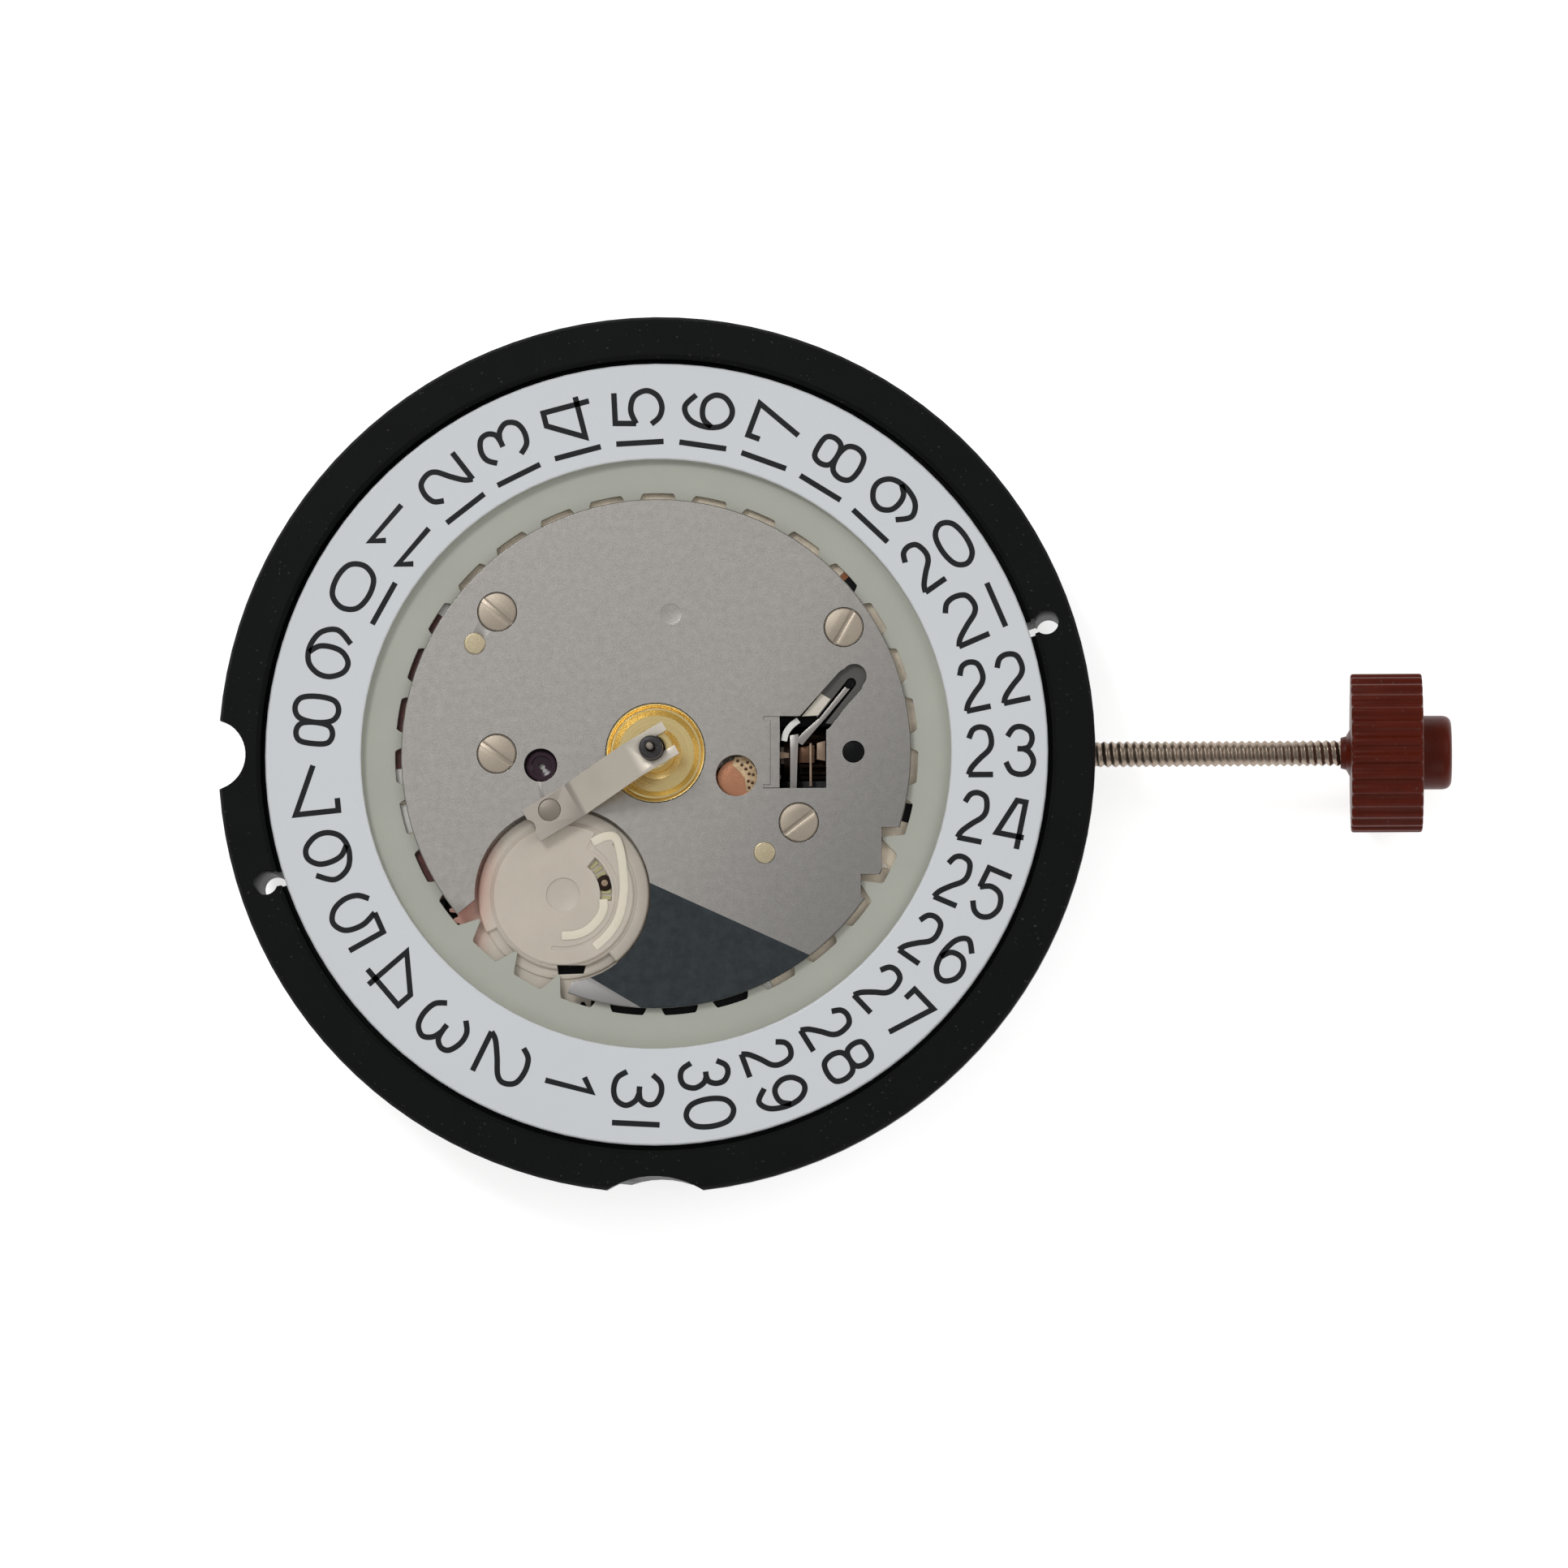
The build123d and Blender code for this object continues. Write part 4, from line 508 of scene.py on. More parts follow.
SIDE_TINT_AND_SHADE_TAKES = (
    ("Colour", "Color"),
    ("Tint", "Color"),
    ("Side", "Vector"),
    ("Start", "Float"),
    ("End", "Float"),
    ("Amount", "Float"),
)


def side_tint():
    """Shared effect: a second colour that comes in towards one side of the part, for a tint and for painted
    light and shade.
    """
    if "Side Tint" in bpy.data.node_groups:
        return bpy.data.node_groups["Side Tint"]
    made, taken, given = new_effect("Side Tint", SIDE_TINT_AND_SHADE_TAKES, (("Colour", "Color"),))
    place = made.nodes.new("ShaderNodeTexCoord").outputs["Object"]
    links = ((0, place), (1, taken["Side"]))
    reach = lay_node(made, "ShaderNodeVectorMath", links, operation="DOT_PRODUCT").outputs["Value"]
    links = ((0, reach), (1, taken["Start"]), (2, taken["End"]), (3, 0.0), (4, taken["Amount"]))
    share = lay_node(made, "ShaderNodeMapRange", links, interpolation_type="SMOOTHSTEP").outputs[0]
    links = ((0, share), (6, taken["Colour"]), (7, taken["Tint"]))
    mixed = lay_node(made, "ShaderNodeMix", links, data_type="RGBA")
    made.links.new(mixed.outputs[2], given["Colour"])
    return made


# Each finish: colour, metallic, roughness, relief in mm, then its other values, with sizes in mm
FINISHES = {
    "black_plastic": (
        "plate_black", 0.0, 0.42, 0.0016, {"Tone": 0.25, "Grain Size": 0.035, "Dust": 0.06, "shine": 0.1},
    ),
    "date_white": (
        "band_white", 0.0, 0.33, 0.0006, {"Tone": 0.015, "Cloud Size": 5.0, "Dust": 0.1, "coat": 0.2},
    ),
    "date_beige": ("band_beige", 0.0, 0.48, 0.0012, {"Tone": 0.05, "Cloud Size": 2.5}),
    "number_ink": ("print_black", 0.0, 0.4, 0.0008, {"Tone": 0.2, "Grain Size": 0.03, "shine": 0.25}),
    "plate_steel": ("steel", 1.0, 0.38, 0.003, {"Tone": 0.1, "Cloud Size": 0.22, "Grain Size": 0.045}),
    "spring_steel": ("spring", 0.8, 0.42, 0.0018, {"Tone": 0.08, "Line Share": 0.7}),
    "yoke_steel": ("yoke", 1.0, 0.42, 0.0015, {"Tone": 0.12}),
    "pin_steel": ("pin", 1.0, 0.36, 0.001, {"Tone": 0.1}),
    "plate_screw": ("screw", 1.0, 0.42, 0.0018, {"Tone": 0.1, "Line Share": 0.4}),
    "pale_brass": ("pale_brass", 1.0, 0.4, 0.0012, {"Tone": 0.2}),
    "screw_steel": ("warm_steel", 1.0, 0.28, 0.0018, {"Tone": 0.08, "Line Share": 0.6}),
    "polished_steel": ("bright_steel", 1.0, 0.17, 0.001, {"Tone": 0.06, "Line Share": 0.8, "Circular": 1.0}),
    "thread_steel": ("stem_steel", 1.0, 0.36, 0.001, {"Tone": 0.12}),
    "brass": ("brass", 1.0, 0.26, 0.0012, {"Tone": 0.07, "Line Share": 0.8, "Circular": 1.0}),
    "gilt_brass": ("gold", 1.0, 0.26, 0.0012, {"Tone": 0.07, "Line Share": 0.8, "Circular": 1.0}),
    "cream_plastic": ("cream", 0.0, 0.38, 0.0012, {"Tone": 0.08, "soft": 0.3}),
    "wheel_plastic": ("wheel_white", 0.0, 0.42, 0.0012, {"Tone": 0.06, "soft": 0.2}),
    "jewel": ("jewel", 0.0, 0.12, 0.0006, {"Tone": 0.2, "Grain Size": 0.1, "coat": 0.3, "shine": 0.35}),
    "soft_iron": ("iron", 1.0, 0.42, 0.002, {"Tone": 0.1, "Line Share": 0.7}),
    "magnet": ("magnet", 0.8, 0.45, 0.002, {"Tone": 0.12}),
    "copper_wire": ("wire", 0.6, 0.3, 0.0016, {"Tone": 0.12, "coat": 0.4}),
    "copper_leaf": ("copper", 1.0, 0.25, 0.0016, {"Tone": 0.12}),
    "battery_steel": ("bright_steel", 1.0, 0.24, 0.0012, {"Tone": 0.04, "Line Share": 0.8}),
    "gasket": ("gasket", 0.0, 0.55, 0.001, {"Tone": 0.15}),
    "board": ("board_green", 0.0, 0.3, 0.0016, {"Tone": 0.2, "Cloud Size": 0.9, "coat": 0.5}),
    "chip_black": ("resin", 0.0, 0.22, 0.002, {"Tone": 0.2, "coat": 0.3}),
    "crown_brown": (
        "crown_brown", 0.0, 0.36, 0.0018, {"Tone": 0.2, "Cloud Size": 0.8, "Dust": 0.05, "shine": 0.13},
    ),
    "slate_paint": (
        "slate", 0.0, 0.5, 0.002, {"Tone": 0.35, "Cloud Size": 0.3, "Grain Size": 0.07, "shine": 0.2},
    ),
    "bed_cream": ("bed", 0.0, 0.5, 0.0012, {"Tone": 0.3, "Cloud Size": 0.5}),
    "bed_red": ("bed_red", 0.0, 0.4, 0.0012, {"Tone": 0.6, "Cloud Size": 0.25}),
    "bed_dark": ("resin", 0.0, 0.5, 0.0012, {"Tone": 0.4, "shine": 0.1}),
    "bed_glint": ("glint", 0.0, 0.35, 0.0008, {"Tone": 0.1}),
    "bed_orange": ("wire", 0.0, 0.4, 0.0012, {"Tone": 0.2}),
    "dark_sheet": ("dark_sheet", 0.6, 0.5, 0.001, {"Tone": 0.12}),
    "bronze": ("bronze", 0.7, 0.4, 0.0016, {"Tone": 0.3, "Cloud Size": 0.2}),
    # Dark bronze serves the sliding pinion, and also painted shade for the hole in the date wheel's window
    "dark_bronze": ("dark_bronze", 0.5, 0.4, 0.0016, {"Tone": 0.4, "Cloud Size": 0.2, "shine": 0.2}),
    "mottled_cream": ("mottled", 0.0, 0.45, 0.0012, {"Tone": 0.45, "Cloud Size": 0.16}),
    "tan": ("tan", 0.2, 0.45, 0.0012, {"Tone": 0.3, "Cloud Size": 0.25}),
    "bright_cream": ("bright_cream", 0.0, 0.4, 0.0012, {"Tone": 0.06, "soft": 0.3}),
    "rivet_steel": ("rivet", 1.0, 0.5, 0.0012, {"Tone": 0.1}),
    "dark_steel": ("dark_steel", 1.0, 0.32, 0.0012, {"Tone": 0.15}),
    "corner_steel": ("corner", 0.7, 0.5, 0.002, {"Tone": 0.1}),
}
# Usual values of the worked surface, sizes in mm
USUAL = {
    "Grain Size": 0.05,
    "Cloud Size": 1.5,
    "Line Spacing": 0.03,
}
# Second colour, for a tint and for painted light and shade: its colour, the side it lies on, where it starts
# and ends in mm, and how strong it is
SIDE_TINTS_AND_SHADES = {
    # Painted shade: the calendar plate darkens towards its lower right, away from the key light
    "plate_steel": ((112, 111, 112), (0.85, -0.53, 0.0), 0.5, 8.0, 0.5),
    "cream_plastic": ((214, 116, 98), (-1.0, 0.12, 0.0), 4.1, 5.2, 0.58),
    # Painted light on the keeper: nearer the axis it keeps the lighter spring colour against the shade of
    # its slope, and towards its flat tail the plainer steel tone takes over
    "spring_steel": ((186, 178, 168), (-0.88, -0.476, 0.0), 2.6, 2.75, 1.0),
}
# Colours that the sidebar leaves out, in sRGB bytes
MORE_COLOURS = {
    "bright_steel": (214, 210, 203),
    "stem_steel": (160, 145, 130),
    # Lighter than the keeper's steel as seen: painted light against the shade of the keeper's slope
    "spring": (228, 219, 205),
    "yoke": (162, 158, 154),
    "pin": (206, 192, 160),
    "screw": (184, 172, 156),
    "pale_brass": (186, 180, 138),
    "corner": (152, 150, 149),
    "brass": (206, 172, 106),
    "wheel_white": (214, 210, 198),
    "iron": (150, 147, 143),
    "magnet": (88, 88, 92),
    "wire": (158, 92, 48),
    "copper": (206, 146, 114),
    "gasket": (30, 58, 50),
    "board_green": (28, 84, 54),
    "resin": (26, 26, 28),
    # The bed cream is painted lighter against the shade under the ring teeth, and the glint is a painted
    # highlight
    "bed": (236, 222, 200),
    "glint": (236, 234, 228),
    "dark_sheet": (92, 90, 87),
    "bronze": (92, 66, 48),
    "dark_bronze": (44, 32, 25),
    "tan": (158, 134, 112),
    "mottled": (212, 182, 142),
    "bright_cream": (242, 230, 208),
    "rivet": (150, 142, 132),
    "dark_steel": (78, 76, 76),
    "bed_red": (84, 34, 26),
}


# Usual shine, most uneven gloss, roughness of a coat, and strength of the relief
USUAL_SHINE, MOST_SPREAD, COAT_ROUGHNESS, RELIEF_STRENGTH = 0.5, 0.3, 0.12, 0.7
# Light below the surface of soft plastics: how far red, green and blue go, and how deep in mm
SOFT_RADIUS, SOFT_DEPTH = (1.0, 0.75, 0.5), 0.35


def finish(slot):
    """The material of a slot, made the first time it is asked for."""
    label = f"{slot}_finish"
    if label in bpy.data.materials:
        return bpy.data.materials[label]
    name, metallic, roughness, relief, extra = FINISHES[slot]
    colour = linear(MORE_COLOURS[name]) if name in MORE_COLOURS else tuple(getattr(colours(), name))
    made = bpy.data.materials.new(label)
    made.use_nodes = True
    tree = made.node_tree
    tree.nodes.clear()
    shader = tree.nodes.new("ShaderNodeBsdfPrincipled")
    lay_node(tree, "ShaderNodeOutputMaterial", ((0, shader.outputs[0]),))
    surface = lay_node(tree, "ShaderNodeGroup", node_tree=surface_effect())
    values = {**USUAL, **extra, "Roughness": roughness, "Spread": min(MOST_SPREAD, roughness)}
    for key, value in values.items():
        if key in surface.inputs:
            surface.inputs[key].default_value = value
    surface.inputs["Colour"].default_value = (*colour, 1.0)
    values = {
        "Metallic": metallic,
        "Coat Weight": extra.get("coat", 0.0),
        "Coat Roughness": COAT_ROUGHNESS,
        "Specular IOR Level": extra.get("shine", USUAL_SHINE),
        "Subsurface Weight": extra.get("soft", 0.0),
        "Subsurface Radius": SOFT_RADIUS,
        "Subsurface Scale": SOFT_DEPTH * MM,
    }
    for key, value in values.items():
        shader.inputs[key].default_value = value
    paint = surface.outputs["Colour"]
    # The second colour is painted shade on the plate, ends the keeper's painted light at its tail, and is a
    # tint on the date wheel
    if slot in SIDE_TINTS_AND_SHADES:
        tint_and_shade, side, start, end, amount = SIDE_TINTS_AND_SHADES[slot]
        takes = enumerate((paint, (*linear(tint_and_shade), 1.0), side, start * MM, end * MM, amount))
        leaning = lay_node(tree, "ShaderNodeGroup", takes, node_tree=side_tint())
        paint = leaning.outputs["Colour"]
    tree.links.new(paint, shader.inputs["Base Color"])
    tree.links.new(surface.outputs["Roughness"], shader.inputs["Roughness"])
    bump = tree.nodes.new("ShaderNodeBump")
    bump.inputs["Strength"].default_value = RELIEF_STRENGTH
    bump.inputs["Distance"].default_value = relief * MM
    tree.links.new(surface.outputs["Height"], bump.inputs["Height"])
    tree.links.new(bump.outputs["Normal"], shader.inputs["Normal"])
    return made


# Pieces of the movement

SLOT_OF = {row["node"]: row["material_slot"] for row in frame["record"]["subparts"]}
BODY_OF = {node: body for body, nodes in frame["record"]["behaviour"]["bodies"].items() for node in nodes}
# One point of the photograph in mm, and where the movement's axis stands in it
PHOTO_POINT = 1 / 41.2
AXIS_IN_PHOTO = (808.5, 928.5)
# Hub of the date wheel, and top and bottom of the calendar plate
DATE_HUB = (-2.77, -4.21)
PLATE_TOP = 2.83
PLATE_BOTTOM = 2.63


def at_photo(x, y):
    """Place in millimetres of a point of the photograph."""
    return ((x - AXIS_IN_PHOTO[0]) * PHOTO_POINT, (AXIS_IN_PHOTO[1] - y) * PHOTO_POINT)


def traced(points):
    """Places in millimetres of points of the photograph."""
    return [at_photo(x, y) for x, y in points]


def arc_band(centre, inner, outer, start, end, steps=24):
    """Outline of a part of a ring between two angles."""
    turns = [start + (end - start) * i / steps for i in range(steps + 1)]
    back = reversed(turns)
    return [polar(inner, turn, centre) for turn in turns] + [polar(outer, turn, centre) for turn in back]


def paint_faces(piece, slot, chosen):
    """Gives the faces that a test picks a finish of their own."""
    piece.data.materials.append(finish(slot))
    last = len(piece.data.materials) - 1
    for face in piece.data.polygons:
        if chosen([piece.data.vertices[i].co / MM for i in face.vertices]):
            face.material_index = last
    return piece


class MovementOperator:
    """What the operators of the movement have in common."""

    bl_options = {"REGISTER", "UNDO"}


class MOVEMENT_OT_cad_finishes(MovementOperator, bpy.types.Operator):
    """Give every CAD node the finish of its slot"""

    bl_idname = "movement.cad_finishes"
    bl_label = "CAD Finishes"

    def execute(self, context):
        for node, made in frame["nodes"].items():
            made.data.materials.clear()
            made.data.materials.append(finish(SLOT_OF[node]))
        return {"FINISHED"}


# Finishes that differ from the record's slot where the photograph shows them
SEEN_FINISH = {
    "keeper_rivet": "rivet_steel",
    "locating_pins": "pin_steel",
    "plate_screws": "plate_screw",
    "sliding_pinion": "dark_bronze",
    "cannon_pinion": "dark_steel",
    "seconds_arbor": "rivet_steel",
}
# Seen nodes, and how wide their rounded edges are beside the usual
REFINED = {
    "main_plate": 1.0,
    "plate_screws": 0.5,
    "locating_pins": 1.5,
    "keeper_rivet": 1.5,
    "cannon_pinion": 1.0,
    "seconds_arbor": 0.8,
    "hour_wheel": 0.8,
    "dial_jewel": 2.0,
    "date_jumper": 1.5,
    "sliding_pinion": 0.0,
    "train_bridge": 1.5,
    "battery_strap": 1.5,
    "keyless_cover": 1.5,
    "bridge_screws": 1.5,
    "cover_screws": 1.5,
    "strap_screw": 1.5,
    "motor_screws": 1.5,
    "battery_can": 1.0,
}


class MOVEMENT_OT_refined_nodes(MovementOperator, bpy.types.Operator):
    """Round the edges of the seen plates, springs, bridges and screws"""

    bl_idname = "movement.refined_nodes"
    bl_label = "Plates, Springs and Screws"

    edge: size_property("Edge", "Usual width of the rounded edges", 0.012)

    def execute(self, context):
        for node, share in REFINED.items():
            piece = refined(node, in_mm(self.edge) * share)
            dress(piece, SEEN_FINISH.get(node, SLOT_OF[node]), BODY_OF[node], node)
        return {"FINISHED"}


# Rounded edge of the date ring, and how far past its step the lower band's finish may reach
RING_EDGE = 0.018
STEP_MARGIN = 0.03


class MOVEMENT_OT_date_ring(MovementOperator, bpy.types.Operator):
    """Dress the date ring with its white band and its bare lower band"""

    bl_idname = "movement.date_ring"
    bl_label = "Date Ring"

    def execute(self, context):
        step = in_mm(settings().ring_step) + STEP_MARGIN
        piece = refined("date_ring", RING_EDGE)
        dress(piece, "date_white", "date", "date_ring")
        paint_faces(piece, "date_beige", lambda corners: max(corner.xy.length for corner in corners) < step)
        return {"FINISHED"}


# Bed below the ring teeth: its radii, its heights, and the sectors of each finish from and to in degrees
BED_RADII = (7.1, 8.0)
BED_HEIGHTS = (2.362, 2.384)
# Painted light: the cream sectors are lighter than the gaps they fill, against the shade under the ring
# teeth, and the glint sectors are painted highlights
RING_BED = {
    "bed_cream": ((-63.4, -15.6), (-11.4, 38.9), (44.1, 143.9), (187.1, 190.9), (197.6, 201.9)),
    "bed_red": ((147.1, 182.9), (202.1, 213.9)),
    "bed_dark": ((-99.9, -65.6), (-15.5, -11.5), (39.0, 42.5)),
    "bed_glint": ((-65.5, -63.5), (144.0, 147.0), (183.0, 187.0), (191.0, 197.5)),
    "bed_orange": ((42.6, 44.0),),
}


class MOVEMENT_OT_ring_bed(MovementOperator, bpy.types.Operator):
    """Lay the bed that shows between the teeth of the date ring"""

    bl_idname = "movement.ring_bed"
    bl_label = "Bed Below the Ring Teeth"

    def execute(self, context):
        for slot, sectors in RING_BED.items():
            outlines = [arc_band((0.0, 0.0), *BED_RADII, *sector) for sector in sectors]
            parts = [prism(f"{slot}_part", outline, *BED_HEIGHTS) for outline in outlines]
            dress(join(parts, f"ring_{slot}"), slot, "movement")
        return {"FINISHED"}


PLATE_EDGE = 0.014
# Slanted slot: its ends in the photograph, its width, and the heights between which it is cut
SLOT_ENDS = ((1053.0, 835.5), (1012.0, 888.0))
SLOT_WIDTH = 0.74
SLOT_HEIGHTS = (2.5, 3.0)
# Dimple: its place, how far round it the plate is pressed, and the share of its depth that is kept
DIMPLE, DIMPLE_RADIUS, DIMPLE_SHARE = (0.45, 4.15), 0.4, 0.35
# Edges of the dark stripe as pairs of points of the photograph, how far left of the date wheel's hub
# and how far over its edge's start it may reach, and how deep below the top its faces may lie
STRIPE_UPPER = ((803.0, 1089.0), (996.0, 1177.0))
STRIPE_LOWER = ((738.0, 1210.0), (785.0, 1238.0))
STRIPE_PAST_HUB, STRIPE_OVER_START, STRIPE_DEPTH = 0.3, 0.02, 0.03
# Folded tab: its reach along x and y, how far it stays inside the plate's faces, and its edge
TAB_REACH = (3.16, 3.71, -1.07, 1.12)
TAB_INSIDE_BOTTOM, TAB_INSIDE_TOP, TAB_EDGE = 0.02, 0.05, 0.03


class MOVEMENT_OT_calendar_plate(MovementOperator, bpy.types.Operator):
    """Dress the steel calendar plate, with its dark stripe, bright corner and folded tab"""

    bl_idname = "movement.calendar_plate"
    bl_label = "Calendar Plate"

    def execute(self, context):
        slot = prism("longer_slot", capsule(*traced(SLOT_ENDS), SLOT_WIDTH), *SLOT_HEIGHTS)
        piece = soften(combine(refined("retaining_plate", 0.0), [slot]), PLATE_EDGE)
        for point in piece.data.vertices:
            if (point.co.xy / MM - Vector(DIMPLE)).length < DIMPLE_RADIUS:
                point.co.z = (PLATE_TOP - (PLATE_TOP - point.co.z / MM) * DIMPLE_SHARE) * MM
        upper, lower = ([Vector(place) for place in traced(edge)] for edge in (STRIPE_UPPER, STRIPE_LOWER))
        self.split(piece, (upper, lower))
        dress(piece, "plate_steel", "movement", "retaining_plate")
        self.paint(piece, upper, lower)
        tab_heights = (PLATE_BOTTOM + TAB_INSIDE_BOTTOM, PLATE_TOP - TAB_INSIDE_TOP)
        tab = soften(prism("folded_tab", oblong(*TAB_REACH), *tab_heights), TAB_EDGE)
        dress(tab, "plate_steel", "movement")
        return {"FINISHED"}

    def split(self, piece, edges):
        """Splits the faces of the plate along the edges of the stripe."""
        body = bmesh.new()
        body.from_mesh(piece.data)
        for start, end in edges:
            along = end - start
            bmesh.ops.bisect_plane(
                body,
                geom=body.verts[:] + body.edges[:] + body.faces[:],
                dist=SPLIT_REACH,
                plane_co=(*(start * MM), 0.0),
                plane_no=(along.y, -along.x, 0.0),
            )
        body.to_mesh(piece.data)
        body.free()

    def paint(self, piece, upper, lower):
        """Paints the stripe and the corner below it."""

        def below(edge, corners):
            start, end = edge
            middle = sum((corner.xy for corner in corners), Vector((0.0, 0.0))) / len(corners)
            inside = middle.x > DATE_HUB[0] - STRIPE_PAST_HUB and middle.y < start.y + STRIPE_OVER_START
            return inside and (end - start).cross(middle - start) < 0

        def on_top(corners):
            return min(corner.z for corner in corners) > PLATE_TOP - STRIPE_DEPTH

        def in_stripe(corners):
            return on_top(corners) and below(upper, corners) and not below(lower, corners)

        paint_faces(piece, "slate_paint", in_stripe)
        paint_faces(piece, "corner_steel", lambda corners: on_top(corners) and below(lower, corners))


# Strokes of the digits in a box one wide and one high: lines are sharp, curves are smooth, loops are closed
DIGITS = {
    "0": (
        ("loop", (
            (0.5, 1.0), (0.88, 0.86), (1.0, 0.5), (0.88, 0.14),
            (0.5, 0.0), (0.12, 0.14), (0.0, 0.5), (0.12, 0.86),
        )),
    ),
    "1": (("line", ((0.5, 0.0), (0.5, 1.0))),),
    "flagged 1": (("line", ((0.0, 0.78), (1.0, 1.0), (1.0, 0.0))),),
    "2": (
        ("curve", (
            (0.04, 0.76), (0.2, 0.94), (0.5, 1.0), (0.82, 0.93), (0.94, 0.7),
            (0.84, 0.52), (0.48, 0.34), (0.15, 0.15), (0.02, 0.0),
        )),
        ("line", ((0.02, 0.0), (1.0, 0.0))),
    ),
    "3": (
        ("curve", (
            (0.06, 0.8), (0.28, 0.97), (0.58, 1.0), (0.88, 0.9),
            (0.95, 0.73), (0.83, 0.58), (0.62, 0.54), (0.42, 0.54),
        )),
        ("curve", (
            (0.62, 0.54), (0.86, 0.46), (1.0, 0.27), (0.86, 0.07),
            (0.55, 0.0), (0.2, 0.06), (0.0, 0.26),
        )),
    ),
    "4": (("line", ((0.82, 0.0), (0.82, 1.0), (0.5, 1.0), (0.0, 0.26), (1.0, 0.26))),),
    "5": (
        ("line", ((0.96, 1.0), (0.08, 1.0), (0.04, 0.56))),
        ("curve", (
            (0.04, 0.56), (0.42, 0.66), (0.82, 0.58), (0.98, 0.32),
            (0.82, 0.09), (0.5, 0.0), (0.2, 0.06), (0.0, 0.24),
        )),
    ),
    "6": (
        ("curve", (
            (0.9, 0.8), (0.52, 1.0), (0.16, 0.85), (0.02, 0.5), (0.1, 0.18), (0.36, 0.01), (0.66, 0.01),
            (0.93, 0.18), (0.97, 0.4), (0.78, 0.58), (0.5, 0.62), (0.22, 0.56), (0.04, 0.38),
        )),
    ),
    "7": (("line", ((0.02, 0.74), (0.02, 1.0), (1.0, 1.0), (0.5, 0.0))),),
    "8": (
        ("loop", (
            (0.5, 1.0), (0.82, 0.96), (0.92, 0.78), (0.82, 0.6),
            (0.5, 0.55), (0.18, 0.6), (0.08, 0.78), (0.18, 0.96),
        )),
        ("loop", (
            (0.5, 0.55), (0.88, 0.48), (1.0, 0.27), (0.88, 0.06),
            (0.5, 0.0), (0.12, 0.06), (0.0, 0.27), (0.12, 0.48),
        )),
    ),
}
DIGITS["9"] = tuple((kind, [(1 - x, 1 - y) for x, y in line]) for kind, line in DIGITS["6"])

# Where the digits lie between the inner and the outer radius of the band, in points of the photograph
WIDE = (391.0, 452.0)
SINGLE_SPANS = {1: (404.0, 426.0), 3: (395.5, 452.5), 4: (387.0, 455.5)}
TENS_SPANS = {10: (401.5, 454.0), 14: (397.0, 455.5)}
ELEVEN_SPANS = (377.0, 398.0), (422.0, 443.0)
TEENS_FIRST, TEENS_SECOND = (380.5, 387.5), (403.0, 452.5)
NARROW_FIRST, NARROW_SECOND = (389.5, 437.5), (452.5, 459.5)
TWENTIES_FIRST, TWENTIES_SECOND = (380.5, 418.0), (427.0, 467.5)
# How many dates there are, and which of them lies at three o'clock
DATE_COUNT, DATE_AT_THREE = 31, 23
# How deep the ink sits, how high it stands, and how much each further point of a stroke lifts the next one
INK_DEPTH, INK_HEIGHT, INK_LIFT = 0.004, 0.007, 1e-6


def digit_spans(number):
    """Digits of a number with the inner and the outer radius of each."""
    if number < 10:
        return [("flagged 1" if number == 1 else str(number), *SINGLE_SPANS.get(number, WIDE))]
    first, second = str(number)
    if number == 11:
        return [("flagged 1", *span) for span in ELEVEN_SPANS]
    if number < 20:
        return [(first, *TEENS_FIRST), (second, *TENS_SPANS.get(number, TEENS_SECOND))]
    if number in (21, 31):
        return [(first, *NARROW_FIRST), (second, *NARROW_SECOND)]
    return [(first, *TWENTIES_FIRST), (second, *TWENTIES_SECOND)]


def number_piece(number, top):
    """One printed date number as a thin solid that reads upright at three o'clock."""
    sizes = settings()
    high, stroke = in_mm(sizes.numeral_height), in_mm(sizes.numeral_stroke)
    angle = (DATE_AT_THREE - number) * 360 / DATE_COUNT
    out, up = Vector(polar(1.0, angle)), Vector(polar(1.0, angle + 90))
    points, faces = [], []
    for sign, inner, outer in digit_spans(number):
        left, right = inner * PHOTO_POINT + stroke / 2, outer * PHOTO_POINT - stroke / 2
        for kind, line in DIGITS[sign]:
            flat = [(left + (right - left) * x, high * (y - 0.5)) for x, y in line]
            path = flat if kind == "line" else smooth_line(flat, closed=kind == "loop")
            placed = [tuple(out * x + up * y) for x, y in path]
            ink_top = top + INK_HEIGHT + INK_LIFT * len(points)
            more, cover = ribbon(placed, stroke, top - INK_DEPTH, ink_top, closed=kind == "loop")
            faces += [tuple(len(points) + i for i in face) for face in cover]
            points += more
    return from_faces(f"number_{number:02d}", points, faces)


class MOVEMENT_OT_date_numbers(MovementOperator, bpy.types.Operator):
    """Print the numbers 1 to 31 on the white band of the date ring"""

    bl_idname = "movement.date_numbers"
    bl_label = "Date Numbers"

    def execute(self, context):
        top = in_mm(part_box("date_ring")[1][2])
        for number in range(1, DATE_COUNT + 1):
            dress(number_piece(number, top), "number_ink", "date")
        return {"FINISHED"}


# Date wheel: cover and well as pairs of radius and height, and the rounding and edges of the wheel
DATE_COVER = ((0.0, 2.3), (2.23, 2.3), (2.23, 2.46), (2.0, 2.53), (0.0, 2.53))
DATE_WELL = ((0.0, 2.52), (0.52, 2.52), (0.5, 2.7), (0.0, 2.7))
COVER_ROUNDING, WHEEL_EDGE = 0.08, 0.02
